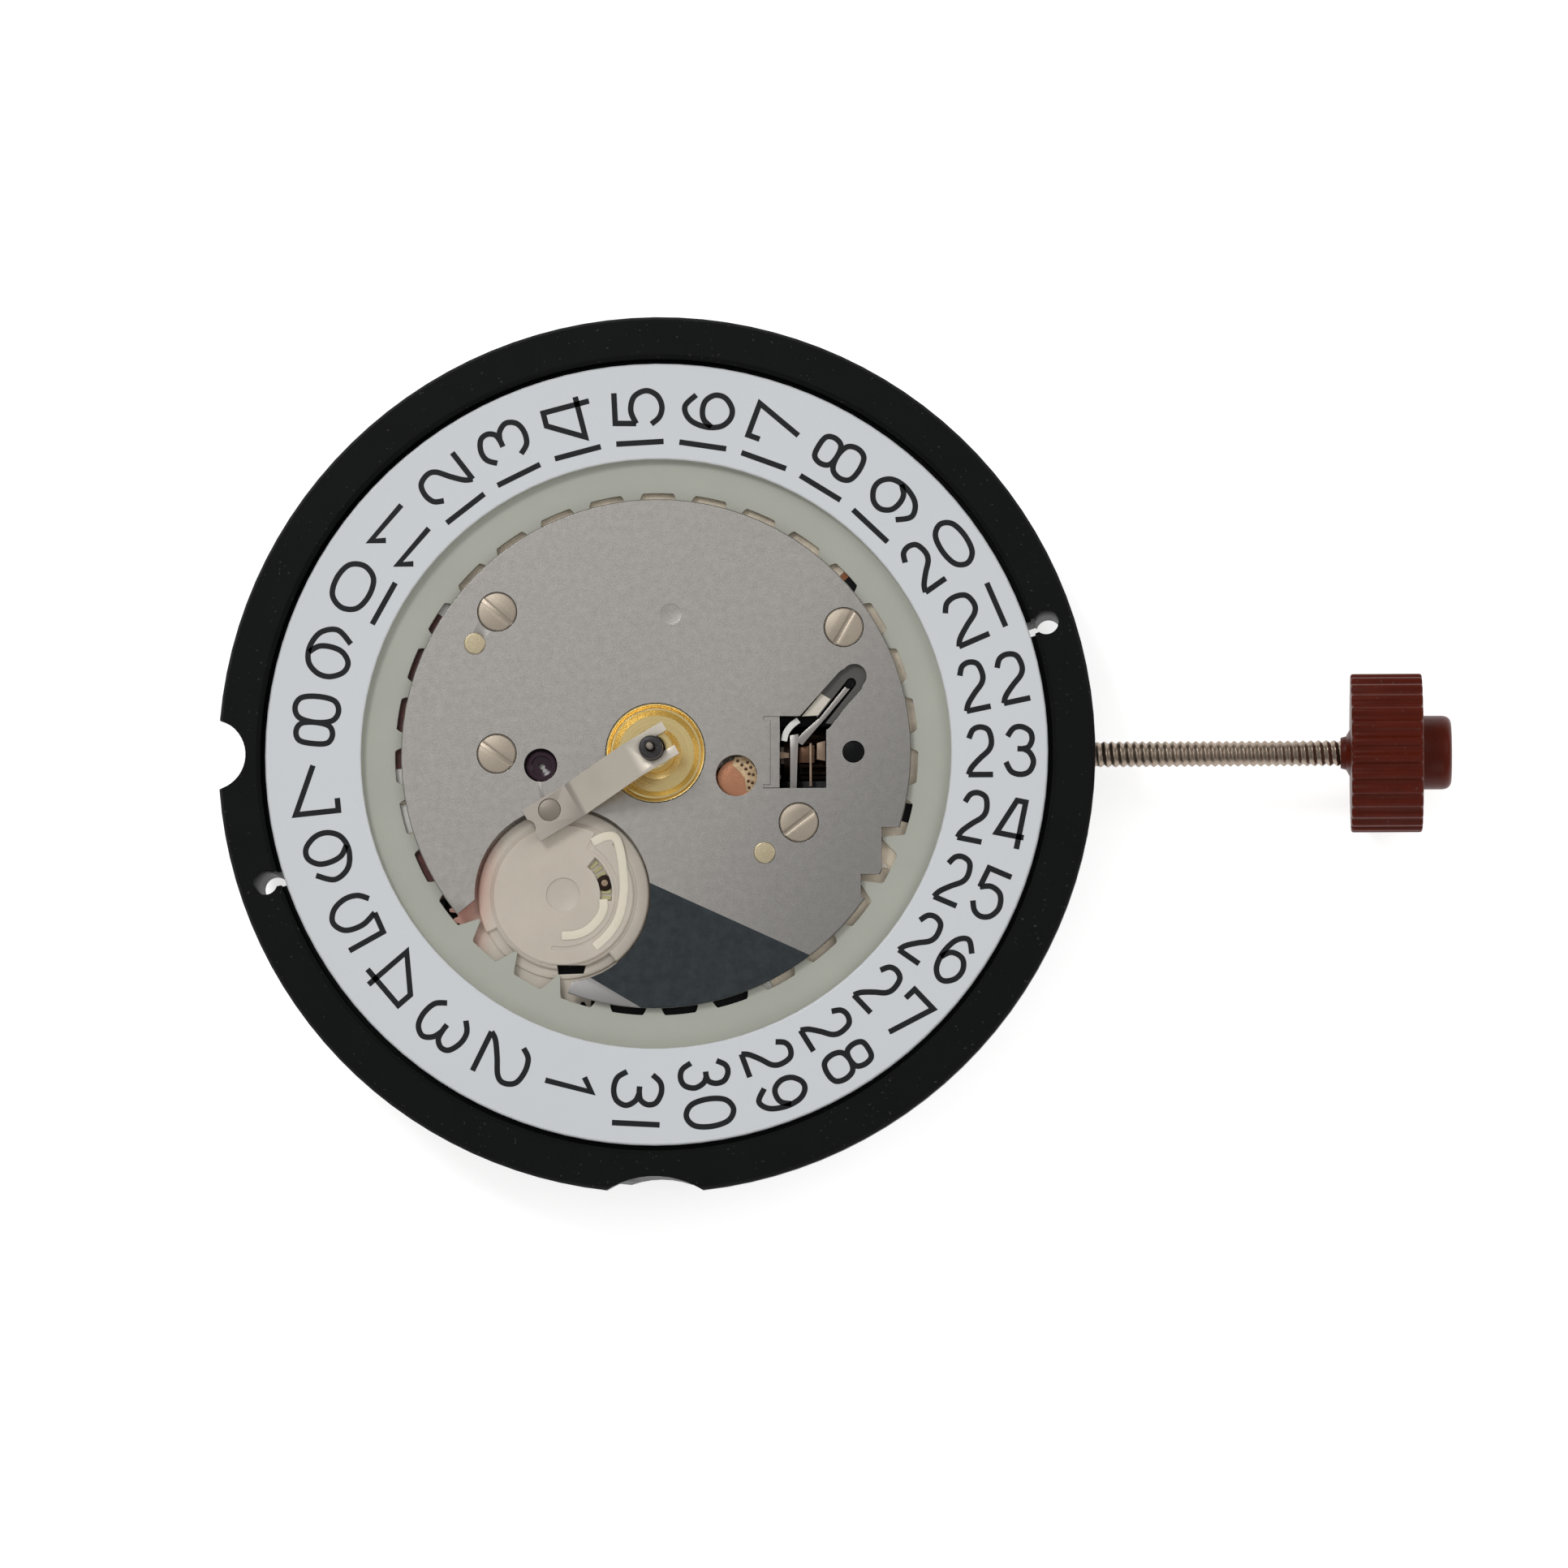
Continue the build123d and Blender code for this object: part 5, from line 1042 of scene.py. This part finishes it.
# Shoulder, window and teeth in it: inner and outer radius with angles from and to, then bottom and top
DATE_SHOULDER, SHOULDER_STEPS, SHOULDER_HEIGHTS = (2.05, 2.57, -52.0, 206.0), 60, (2.3, 2.46)
SHOULDER_EDGE, SHOULDER_EDGE_STEPS = 0.07, 4
DATE_WINDOW, WINDOW_HEIGHTS = (1.1, 1.47, -8.0, 50.0), (2.4, 2.7)
TOOTH_RADII, TOOTH_WIDTH, TOOTH_STEPS, TOOTH_HEIGHTS = (1.14, 1.42), 4.5, 3, (2.39, 2.44)
TOOTH_TURNS = (-6.0, 2.0, 26.0, 34.0, 42.0)
# The hole is a solid dark disc: painted shade for its depth.
# Hole and pin in the window: radius and angle of their place, their profiles and the rounding of both
HOLE_PLACE = (1.28, 16.0)
HOLE_PROFILE = ((0.0, 2.42), (0.24, 2.42), (0.24, 2.48), (0.0, 2.48))
PIN_PROFILE = ((0.0, 2.46), (0.1, 2.46), (0.1, 2.5), (0.0, 2.5))
HOLE_ROUNDING = 0.02
# Slit at the foot of the date wheel, as points of the photograph, and the heights between which it is cut
DATE_GAP = ((686.5, 1188.0), (722.0, 1188.5), (719.0, 1198.5), (687.5, 1199.5))
GAP_HEIGHTS = (2.0, 2.7)
# The bands take the bright cream finish: painted highlights along the edges of the wheel's arm, on raised
# strips
# Raised bands of the date wheel: points of the photograph, width and top, then their foot and edge
INNER_BAND = (
    (743.8, 1107.5), (743.8, 1120.0), (737.5, 1132.5),
    (725.0, 1145.0), (710.0, 1151.3), (692.5, 1152.5),
)
OUTER_BAND = (
    (730.0, 1038.0), (744.0, 1031.0), (757.5, 1031.0), (764.0, 1046.0), (768.0, 1072.5),
    (769.0, 1100.0), (763.0, 1130.0), (750.0, 1151.0), (733.0, 1167.0),
)
DATE_BANDS = ((INNER_BAND, 0.26, 2.6), (OUTER_BAND, 0.27, 2.585))
BAND_FOOT, BAND_EDGE, BAND_EDGE_STEPS = 2.4, 0.03, 3


class MOVEMENT_OT_date_wheel(MovementOperator, bpy.types.Operator):
    """Build the moulded date wheel with its fingers and window, and raised bands painted lighter as
    highlights
    """

    bl_idname = "movement.date_wheel"
    bl_label = "Date Wheel"

    def execute(self, context):
        wheel = refined("date_driving_wheel", WHEEL_EDGE)
        cover = turned("date_cover", rounded(DATE_COVER, COVER_ROUNDING), DATE_HUB)
        combine(wheel, [cover], "UNION")
        outline = arc_band(DATE_HUB, *DATE_SHOULDER, SHOULDER_STEPS)
        shoulder = prism("date_shoulder", outline, *SHOULDER_HEIGHTS)
        combine(wheel, [soften(shoulder, SHOULDER_EDGE, steps=SHOULDER_EDGE_STEPS)], "UNION")
        window = prism("date_slot", arc_band(DATE_HUB, *DATE_WINDOW), *WINDOW_HEIGHTS)
        well = turned("date_well", DATE_WELL, DATE_HUB)
        gap = prism("date_gap", traced(DATE_GAP), *GAP_HEIGHTS)
        wheel = soften(combine(wheel, [window, well, gap]), WHEEL_EDGE)
        dress(wheel, "cream_plastic", "date_driver", "date_driving_wheel")
        bands = []
        for places, width, top in DATE_BANDS:
            band = from_faces("date_band", *ribbon(smooth_line(traced(places)), width, BAND_FOOT, top))
            bands.append(soften(band, BAND_EDGE, steps=BAND_EDGE_STEPS))
        dress(join(bands, "date_bands"), "bright_cream", "date_driver")
        teeth = []
        for i, turn in enumerate(TOOTH_TURNS):
            outline = arc_band(DATE_HUB, *TOOTH_RADII, turn, turn + TOOTH_WIDTH, TOOTH_STEPS)
            teeth.append(prism(f"slot_tooth_{i}", outline, *TOOTH_HEIGHTS))
        dress(join(teeth, "date_slot_teeth"), "pale_brass", "date_driver")
        place = polar(*HOLE_PLACE, DATE_HUB)
        hole = turned("date_slot_hole", rounded(HOLE_PROFILE, HOLE_ROUNDING), place)
        dress(hole, "dark_bronze", "date_driver")
        pin = turned("date_slot_pin", rounded(PIN_PROFILE, HOLE_ROUNDING), place)
        dress(pin, "tan", "date_driver")
        return {"FINISHED"}


# Gilt rim of the hour window as pairs of radius and height, and its edge
HOUR_RIM = ((1.36, 2.7), (1.42, 2.82), (1.475, 2.84), (1.488, 2.78), (1.488, 2.66), (1.36, 2.66))
RIM_EDGE = 0.01
# Copper part: its place, its profile and its rounding
COPPER_PLACE = (2.4, -0.78)
COPPER_LEAF = ((0.0, 2.42), (0.6, 2.42), (0.6, 2.48), (0.0, 2.49))
COPPER_ROUNDING = 0.02
# Cream edge on the copper part and the pits in it, as points of the photograph
COPPER_EDGE = (
    (905.0, 933.0), (920.0, 932.0), (931.0, 946.0), (934.0, 960.0), (928.0, 981.0),
    (920.0, 976.0), (917.5, 960.0), (911.0, 951.0), (902.0, 943.0),
)
EDGE_HEIGHTS = (2.47, 2.53)
COPPER_PITS = (
    (909, 938), (914, 943), (921, 940), (919, 948), (925, 946),
    (923, 954), (928, 955), (922, 963), (927, 965), (923, 971),
)
PIT_PROFILE, PIT_SIDES = ((0.0, 2.5), (0.055, 2.5), (0.05, 2.54), (0.0, 2.545)), 14


class MOVEMENT_OT_windows(MovementOperator, bpy.types.Operator):
    """Fill the hour window and the copper window of the calendar plate"""

    bl_idname = "movement.windows"
    bl_label = "Hour and Copper Windows"

    def execute(self, context):
        rim = turned("hour_rim_piece", HOUR_RIM, ring=True)
        dress(soften(rim, RIM_EDGE), "gilt_brass", "hours")
        leaf = turned("copper_leaf", rounded(COPPER_LEAF, COPPER_ROUNDING), COPPER_PLACE)
        dress(leaf, "copper_leaf", "movement")
        edge = soften(prism("copper_edge", traced(COPPER_EDGE), *EDGE_HEIGHTS), COPPER_ROUNDING)
        dress(edge, "mottled_cream", "movement")
        profile = rounded(PIT_PROFILE, COPPER_ROUNDING)
        pits = [turned("copper_pit", profile, place, count=PIT_SIDES) for place in traced(COPPER_PITS)]
        dress(join(pits, "copper_pits"), "bronze", "movement")
        return {"FINISHED"}


# Yoke: outlines as points of the photograph, with how far below its top they start and end
YOKE_BLADE = (
    (1047.8, 838.5), (1050.5, 836.8), (1053.4, 838.4), (1054.0, 842.0), (1018.5, 884.5),
    (1003.0, 902.0), (988.5, 919.0), (979.5, 914.0), (990.0, 902.5), (1010.0, 885.0),
)
YOKE_STRIP = (
    (973.0, 907.0), (984.0, 905.0), (983.0, 925.0),
    (981.5, 975.0), (973.5, 975.0), (973.5, 925.0),
)
BLADE_BELOW, STRIP_BELOW, YOKE_EDGE = (0.14, 0.02), (0.16, 0.01), 0.015
# Pin of the yoke: its place in the photograph, its radius and how far below the yoke's top it ends
PIN_PLACE, PIN_RADIUS, PIN_BELOW = (977.0, 960.0), 0.1, 0.15
# End of the spring: its line in the photograph, its width, its heights and its edge
SPRING_END = ((966.0, 914.0), (968.5, 904.0), (975.0, 895.0), (984.0, 888.0))
SPRING_WIDTH, SPRING_HEIGHTS, SPRING_EDGE, SPRING_EDGE_STEPS = 0.19, (2.5, 2.6), 0.04, 3
# Dark sheet below the slot and its opening: their ends in the photograph, their widths and their heights
SHEET_ENDS, SHEET_WIDTH, SHEET_HEIGHTS = ((1053.5, 834.5), (1023.0, 873.0)), 0.98, (2.615, 2.65)
OPENING_ENDS, OPENING_WIDTH, OPENING_HEIGHTS = ((1048.8, 843.0), (997.0, 908.0)), 0.3, (2.5, 2.7)
# Small bits: name, finish, outline in the photograph, and heights
SLOT_CORNER = ((1012.0, 856.0), (1023.5, 863.0), (1008.0, 883.0), (988.0, 884.0))
WINDOW_BITS = (
    ("slot_corner", "bright_cream", SLOT_CORNER, 2.645, 2.665),
    ("wheel_edge", "tan", ((997.0, 916.0), (999.8, 916.0), (999.8, 969.0), (997.0, 969.0)), 2.36, 2.4),
    ("lever_edge", "tan", ((1006.0, 916.0), (1016.5, 913.0), (1016.5, 938.0), (1006.0, 936.0)), 2.34, 2.4),
    ("arbor_edge", "tan", ((960.0, 926.0), (972.0, 928.0), (972.0, 934.0), (960.0, 935.0)), 2.36, 2.4),
    ("wheel_face", "bronze", ((984.0, 921.0), (1003.0, 918.0), (1003.0, 940.0), (984.0, 940.0)), 2.3, 2.36),
)
# Rounded edge of the small bits
BIT_EDGE = 0.012


class MOVEMENT_OT_keyless_window(MovementOperator, bpy.types.Operator):
    """Build the yoke and the small steel parts that show in the keyless window"""

    bl_idname = "movement.keyless_window"
    bl_label = "Keyless Window"

    def execute(self, context):
        low, high = in_mm(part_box("yoke")[0][2]), in_mm(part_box("yoke")[1][2])
        blade = prism("yoke_blade", traced(YOKE_BLADE), *(high - below for below in BLADE_BELOW))
        strip = prism("yoke_strip", traced(YOKE_STRIP), *(high - below for below in STRIP_BELOW))
        pin_top = high - PIN_BELOW
        pin_profile = [(0.0, low), (PIN_RADIUS, low), (PIN_RADIUS, pin_top), (0.0, pin_top)]
        pin = turned("yoke_pin", pin_profile, at_photo(*PIN_PLACE))
        piece = join([soften(blade, YOKE_EDGE), soften(strip, YOKE_EDGE), pin], "yoke_piece")
        dress(piece, "yoke_steel", "movement", "yoke")
        # The end of the spring takes the white glint finish, a painted highlight on the steel wire
        end = ribbon(smooth_line(traced(SPRING_END)), SPRING_WIDTH, *SPRING_HEIGHTS)
        spring = soften(from_faces("yoke_spring_end", *end), SPRING_EDGE, steps=SPRING_EDGE_STEPS)
        dress(spring, "bed_glint", "movement")
        sheet = prism("slot_sheet", capsule(*traced(SHEET_ENDS), SHEET_WIDTH), *SHEET_HEIGHTS)
        opening = prism("slot_opening", capsule(*traced(OPENING_ENDS), OPENING_WIDTH), *OPENING_HEIGHTS)
        dress(combine(sheet, [opening]), "dark_sheet", "movement")
        for name, slot, places, bottom, top in WINDOW_BITS:
            dress(soften(prism(name, traced(places), bottom, top), BIT_EDGE), slot, "movement")
        return {"FINISHED"}


# Keeper: its direction in degrees, what is cut beyond its fork, the notch in its tail, and its edges
KEEPER_TURN = 28.4
FORK_REACH, FORK_HALF_WIDTH = (0.64, 2.2), 0.8
TAIL_RADIUS, TAIL_PLACE = 0.27, (-3.83, -2.26)
KEEPER_HEIGHTS = (2.6, 4.6)
KEEPER_FINE_EDGE, KEEPER_EDGE, KEEPER_EDGE_ANGLE = 0.015, 0.04, 60


class MOVEMENT_OT_keeper(MovementOperator, bpy.types.Operator):
    """Cut the keeper of the hour wheel to its short fork and its hooked tail"""

    bl_idname = "movement.keeper"
    bl_label = "Hour Wheel Keeper"

    def execute(self, context):
        piece = refined("hour_wheel_keeper", KEEPER_FINE_EDGE)
        across = Vector(polar(FORK_HALF_WIDTH, KEEPER_TURN + 90))
        along = Vector(polar(1.0, KEEPER_TURN))
        near, far = FORK_REACH
        corners = ((near, -1), (far, -1), (far, 1), (near, 1))
        outline = [tuple(along * reach + across * side) for reach, side in corners]
        fork = prism("fork_end", outline, *KEEPER_HEIGHTS)
        tail = prism("tail_notch", circle(TAIL_RADIUS, TAIL_PLACE), *KEEPER_HEIGHTS)
        piece = soften(combine(piece, [fork, tail]), KEEPER_EDGE, angle=KEEPER_EDGE_ANGLE)
        dress(piece, "spring_steel", "movement", "hour_wheel_keeper")
        return {"FINISHED"}


# Profiles of the stem as pairs of radius and place along x, with how far their corners are rounded
STEM_SHAFT = (
    (0.0, 6.1), (0.6, 6.1), (0.6, 7.3), (0.34, 7.3), (0.34, 8.05),
    (0.6, 8.05), (0.6, 12.6), (0.31, 12.6), (0.31, 13.12), (0.0, 13.12),
)
STEM_PILOT = ((0.0, 2.85), (0.22, 2.85), (0.22, 3.55), (0.0, 3.55))
SHAFT_ROUNDING, PILOT_ROUNDING = 0.03, 0.05
# Where the square and the thread of the stem start and end along x
SQUARE_REACH, THREAD_REACH = (3.5, 6.2), (13.05, 21.8)
# Thread: sides and rows in a turn, depth beside the pitch, slope of its flanks, flatness of its crests,
# and how much thinner its ends are
THREAD_SIDES, THREAD_ROWS, THREAD_DEPTH = 36, 10, 0.3
FLANK_SLOPE, CREST_FLAT, END_THINNING = 1.25, 0.12, 0.03


class MOVEMENT_OT_stem(MovementOperator, bpy.types.Operator):
    """Build the winding stem with its square, bearing, groove and rolled thread"""

    bl_idname = "movement.stem"
    bl_label = "Stem"

    square: size_property("Square", "Width across the flats of the square", 0.5)

    def execute(self, context):
        sizes = settings()
        height, flat = in_mm(sizes.stem_height), in_mm(self.square) / 2
        shaft = turned("stem_shaft", rounded(STEM_SHAFT, SHAFT_ROUNDING))
        pilot = turned("stem_pilot", rounded(STEM_PILOT, PILOT_ROUNDING))
        drawn = prism("stem_square", oblong(-flat, flat, -flat, flat), *SQUARE_REACH)
        thread = self.thread(in_mm(sizes.stem_radius), in_mm(sizes.thread_pitch), *THREAD_REACH)
        parts = [lay_along_x(part, height) for part in (shaft, pilot, drawn)]
        for point in thread.data.vertices:
            point.co.z += height * MM
        dress(join(parts + [thread], "stem_piece"), "thread_steel", "winding_stem", "stem")
        return {"FINISHED"}

    def thread(self, crest, pitch, start, end):
        """Screw thread with rounded crests between two places along the stem."""
        sides, per_turn, deep = THREAD_SIDES, THREAD_ROWS, THREAD_DEPTH * pitch
        rows = int((end - start) / pitch * per_turn) + 1
        rings = []
        for row in range(rows):
            x = start + row * pitch / per_turn
            fade = min(1.0, row / per_turn, (rows - 1 - row) / per_turn)
            ring = []
            for side in range(sides):
                away = abs((x / pitch - side / sides) % 1.0 - 0.5) * 2
                cut = min(1.0, max(0.0, away * FLANK_SLOPE - CREST_FLAT))
                radius = crest - deep * fade * cut - END_THINNING * (1 - fade)
                ring.append((x, *polar(radius, 360 * side / sides)))
            rings.append(ring)
        return tube("stem_thread", rings)


# Crown: how long its ribbed body is and how far behind the body its collar reaches
CROWN_LENGTH, COLLAR_LENGTH = 2.12, 0.3
# Bore of the crown: how far it starts behind the collar, and where it ends along x
BORE_CLEAR, BORE_END = 0.1, 21.86
# Collar as pairs of radius and distance from its back
CROWN_COLLAR = ((0.0, 0.0), (0.46, 0.0), (0.5, 0.16), (0.75, 0.3), (0.75, 0.5), (0.0, 0.5))
# Hub: how deep it stands in the body, how far its corners are rounded and in how many steps
HUB_DEPTH, HUB_ROUNDING, HUB_STEPS = 1.0, 0.3, 6
# Rounded edge of the crown, and the angle in degrees above which an edge is rounded
CROWN_EDGE, CROWN_EDGE_ANGLE = 0.02, 50
# Ribs: how deep they are, how far they round off at both faces, points in a rib, and how full its crest is
RIB_DEPTH, RIB_EDGE, RIB_POINTS, RIB_FULLNESS = 0.12, 0.07, 16, 0.7
# Rounding of a rib's end as shares of that edge: distance from the face, and how far inward
RIB_END = ((0.0, 1.0), (0.25, 0.45), (0.6, 0.12), (1.0, 0.0))


class MOVEMENT_OT_crown(MovementOperator, bpy.types.Operator):
    """Build the moulded crown with its rounded ribs, hub and collar"""

    bl_idname = "movement.crown"
    bl_label = "Crown"

    ribs: bpy.props.IntProperty(
        name="Ribs", description="Number of ribs round the crown", default=29, min=8, max=80
    )

    def execute(self, context):
        sizes = settings()
        height, bore = in_mm(sizes.stem_height), in_mm(sizes.stem_radius)
        rim, hub = in_mm(sizes.crown_radius), in_mm(sizes.crown_hub)
        start, end = in_mm(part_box("crown")[0][0]), in_mm(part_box("crown")[1][0])
        foot, hub_start = start - BORE_CLEAR, start + COLLAR_LENGTH + HUB_DEPTH
        hub_profile = [(0.0, hub_start), (hub, hub_start), (hub, end), (0.0, end)]
        piece = self.ribbed(start + COLLAR_LENGTH, CROWN_LENGTH, rim)
        bore_cut = turned("crown_bore", [(0.0, foot), (bore, foot), (bore, BORE_END), (0.0, BORE_END)])
        front = turned("crown_hub", rounded(hub_profile, HUB_ROUNDING, HUB_STEPS))
        back = turned("crown_collar", [(radius, start + away) for radius, away in CROWN_COLLAR])
        combine(piece, [front, back], "UNION")
        combine(piece, [bore_cut])
        piece = soften(lay_along_x(piece, height), CROWN_EDGE, angle=CROWN_EDGE_ANGLE)
        dress(piece, "crown_brown", "winding_stem", "crown")
        return {"FINISHED"}

    def ribbed(self, start, length, rim):
        """Upright body of the crown whose ribs are rounded and narrow towards both faces."""
        count = self.ribs * RIB_POINTS
        levels = [(away * RIB_EDGE, inward * RIB_EDGE) for away, inward in RIB_END]
        levels += [(length - away, inward) for away, inward in reversed(levels)]
        rings = []
        for away, inward in levels:
            ring = []
            for i in range(count):
                wave = math.cos(2 * math.pi * i / RIB_POINTS)
                swell = math.copysign(abs(wave) ** RIB_FULLNESS, wave)
                radius = rim - inward - RIB_DEPTH * (1 - swell) / 2
                ring.append((*polar(radius, 360 * i / count), start + away))
            rings.append(ring)
        return tube("crown_piece", rings)


# Lights: name, place, diameter and power
LIGHTS = (
    ("Key light", (-120.0, 150.0, 260.0), 110.0, 0.28),
    ("Fill light", (200.0, 60.0, 200.0), 160.0, 0.1),
    ("Front light", (40.0, -220.0, 160.0), 140.0, 0.06),
)
# Camera: what it looks at, the direction it looks from, how wide a view it takes, its lens and its film
# width, and the nearest and the farthest it sees
TARGET, FROM_WHERE, VIEW_WIDTH = (3.85, -0.97, 3.0), (0.06, -0.09, 1.0), 46.62
LENS, FILM_WIDTH = 170.0, 36.0
NEAREST, FARTHEST = 1.0, 4000.0
# Floor: how far it lies under the lowest piece, its radius, its sides and its thickness
FLOOR_CLEAR, FLOOR_RADIUS, FLOOR_SIDES, FLOOR_THICKNESS = 0.03, 420.0, 96, 1.0
# Paper of the floor: noise in a metre, its least and most roughness and brightness, and the light it gives
PAPER_NOISE = 40.0
PAPER_ROUGHNESS, PAPER_BRIGHTNESS = (0.75, 0.95), (0.93, 0.97)
PAPER_GLOW, GLOW_COLOUR = 0.6, (1.0, 1.0, 1.0, 1.0)
# Surroundings: the heights between which their brightness changes, and the brightness at both
SKY_HEIGHTS, SKY_BRIGHTNESS = (-0.2, 1.0), (0.3, 0.5)


class MOVEMENT_OT_stage(MovementOperator, bpy.types.Operator):
    """Lay the pale floor, set the soft lights and place the camera"""

    bl_idname = "movement.stage"
    bl_label = "Floor, Lights and Camera"

    def execute(self, context):
        self.floor()
        self.world()
        target = Vector(TARGET) * MM
        for name, place, size, power in LIGHTS:
            lamp = bpy.data.lights.new(name, "AREA")
            lamp.shape, lamp.size, lamp.energy = "DISK", size * MM, power
            lit = bpy.data.objects.new(name, lamp)
            lit.location = Vector(place) * MM
            lit.rotation_mode = "QUATERNION"
            lit.rotation_quaternion = (target - lit.location).to_track_quat("-Z", "Y")
            context.scene.collection.objects.link(lit)
        context.scene.camera = self.camera(target)
        context.scene.collection.objects.link(context.scene.camera)
        context.scene.view_settings.view_transform = "Standard"
        return {"FINISHED"}

    def camera(self, target):
        """Camera that looks at a place from above, with its upper edge along y."""
        lens = bpy.data.cameras.new("Camera")
        lens.lens, lens.sensor_width = LENS, FILM_WIDTH
        lens.clip_start, lens.clip_end = NEAREST * MM, FARTHEST * MM
        lens.dof.use_dof = False
        taker = bpy.data.objects.new("Camera", lens)
        back = Vector(FROM_WHERE).normalized()
        away = VIEW_WIDTH / 2 * lens.lens / (lens.sensor_width / 2)
        taker.location = target + back * away * MM
        right = Vector((0.0, 1.0, 0.0)).cross(back).normalized()
        taker.rotation_mode = "QUATERNION"
        taker.rotation_quaternion = Matrix((right, back.cross(right), back)).transposed().to_quaternion()
        return taker

    def floor(self):
        """Wide pale round sheet that lies just under the crown."""
        level = in_mm(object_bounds()[0][2]) - FLOOR_CLEAR
        outline = circle(FLOOR_RADIUS, (0.0, 0.0), FLOOR_SIDES)
        sheet = shade(prism("floor", outline, level - FLOOR_THICKNESS, level))
        made = bpy.data.materials.new("floor_paper")
        made.use_nodes = True
        tree = made.node_tree
        inputs = tree.nodes["Principled BSDF"].inputs
        place = tree.nodes.new("ShaderNodeTexCoord").outputs["Object"]
        paper = lay_node(tree, "ShaderNodeTexNoise", ((0, place), (2, PAPER_NOISE))).outputs["Fac"]
        for label, (least, most) in (("Roughness", PAPER_ROUGHNESS), ("Base Color", PAPER_BRIGHTNESS)):
            spread = lay_node(tree, "ShaderNodeMapRange", ((0, paper), (3, least), (4, most)))
            tree.links.new(spread.outputs[0], inputs[label])
        inputs["Emission Color"].default_value = GLOW_COLOUR
        inputs["Emission Strength"].default_value = PAPER_GLOW
        sheet.data.materials.append(made)
        sheet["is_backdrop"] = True

    def world(self):
        """Even pale surroundings, a little darker towards the horizon."""
        around = bpy.data.worlds.new("Studio")
        bpy.context.scene.world = around
        around.use_nodes = True
        tree = around.node_tree
        tree.nodes.clear()
        place = tree.nodes.new("ShaderNodeTexCoord").outputs["Generated"]
        high = lay_node(tree, "ShaderNodeSeparateXYZ", ((0, place),)).outputs[2]
        limits = enumerate((*SKY_HEIGHTS, *SKY_BRIGHTNESS), start=1)
        light = lay_node(tree, "ShaderNodeMapRange", ((0, high), *limits)).outputs[0]
        sky = lay_node(tree, "ShaderNodeBackground", ((0, light),))
        lay_node(tree, "ShaderNodeOutputWorld", ((0, sky.outputs[0]),))


class MOVEMENT_PT_panel(bpy.types.Panel):
    """Sizes, colours and steps of the movement in the sidebar"""

    bl_idname = "MOVEMENT_PT_panel"
    bl_label = "Quartz Watch Movement"
    bl_space_type = "VIEW_3D"
    bl_region_type = "UI"
    bl_category = "Movement"

    def draw(self, context):
        layout = self.layout
        for step in STEPS:
            layout.operator(step.bl_idname)
        for group, title in ((settings(), "Sizes"), (colours(), "Colours")):
            box = layout.box()
            box.label(text=title)
            for name in group.bl_rna.properties.keys():
                if name not in ("name", "rna_type"):
                    box.prop(group, name)


STEPS = (
    MOVEMENT_OT_cad_finishes,
    MOVEMENT_OT_refined_nodes,
    MOVEMENT_OT_date_ring,
    MOVEMENT_OT_ring_bed,
    MOVEMENT_OT_calendar_plate,
    MOVEMENT_OT_date_numbers,
    MOVEMENT_OT_date_wheel,
    MOVEMENT_OT_windows,
    MOVEMENT_OT_keyless_window,
    MOVEMENT_OT_keeper,
    MOVEMENT_OT_stem,
    MOVEMENT_OT_crown,
    MOVEMENT_OT_stage,
)
CLASSES = (MovementSizes, MovementColours, *STEPS, MOVEMENT_PT_panel)


def register():
    """Registers the classes and hangs the sizes and colours on the scene."""
    for made in CLASSES:
        bpy.utils.register_class(made)
    bpy.types.Scene.movement_sizes = bpy.props.PointerProperty(
        type=MovementSizes, name="Sizes", description="Sizes of the movement"
    )
    bpy.types.Scene.movement_colours = bpy.props.PointerProperty(
        type=MovementColours, name="Colours", description="Colours of the movement"
    )


def unregister():
    """Takes the classes and the scene's properties away again."""
    del bpy.types.Scene.movement_sizes
    del bpy.types.Scene.movement_colours
    for made in reversed(CLASSES):
        bpy.utils.unregister_class(made)


def main():
    """Builds the movement step by step."""
    register()
    for step in STEPS:
        group, name = step.bl_idname.split(".")
        getattr(getattr(bpy.ops, group), name)()


if __name__ == "__main__":
    main()
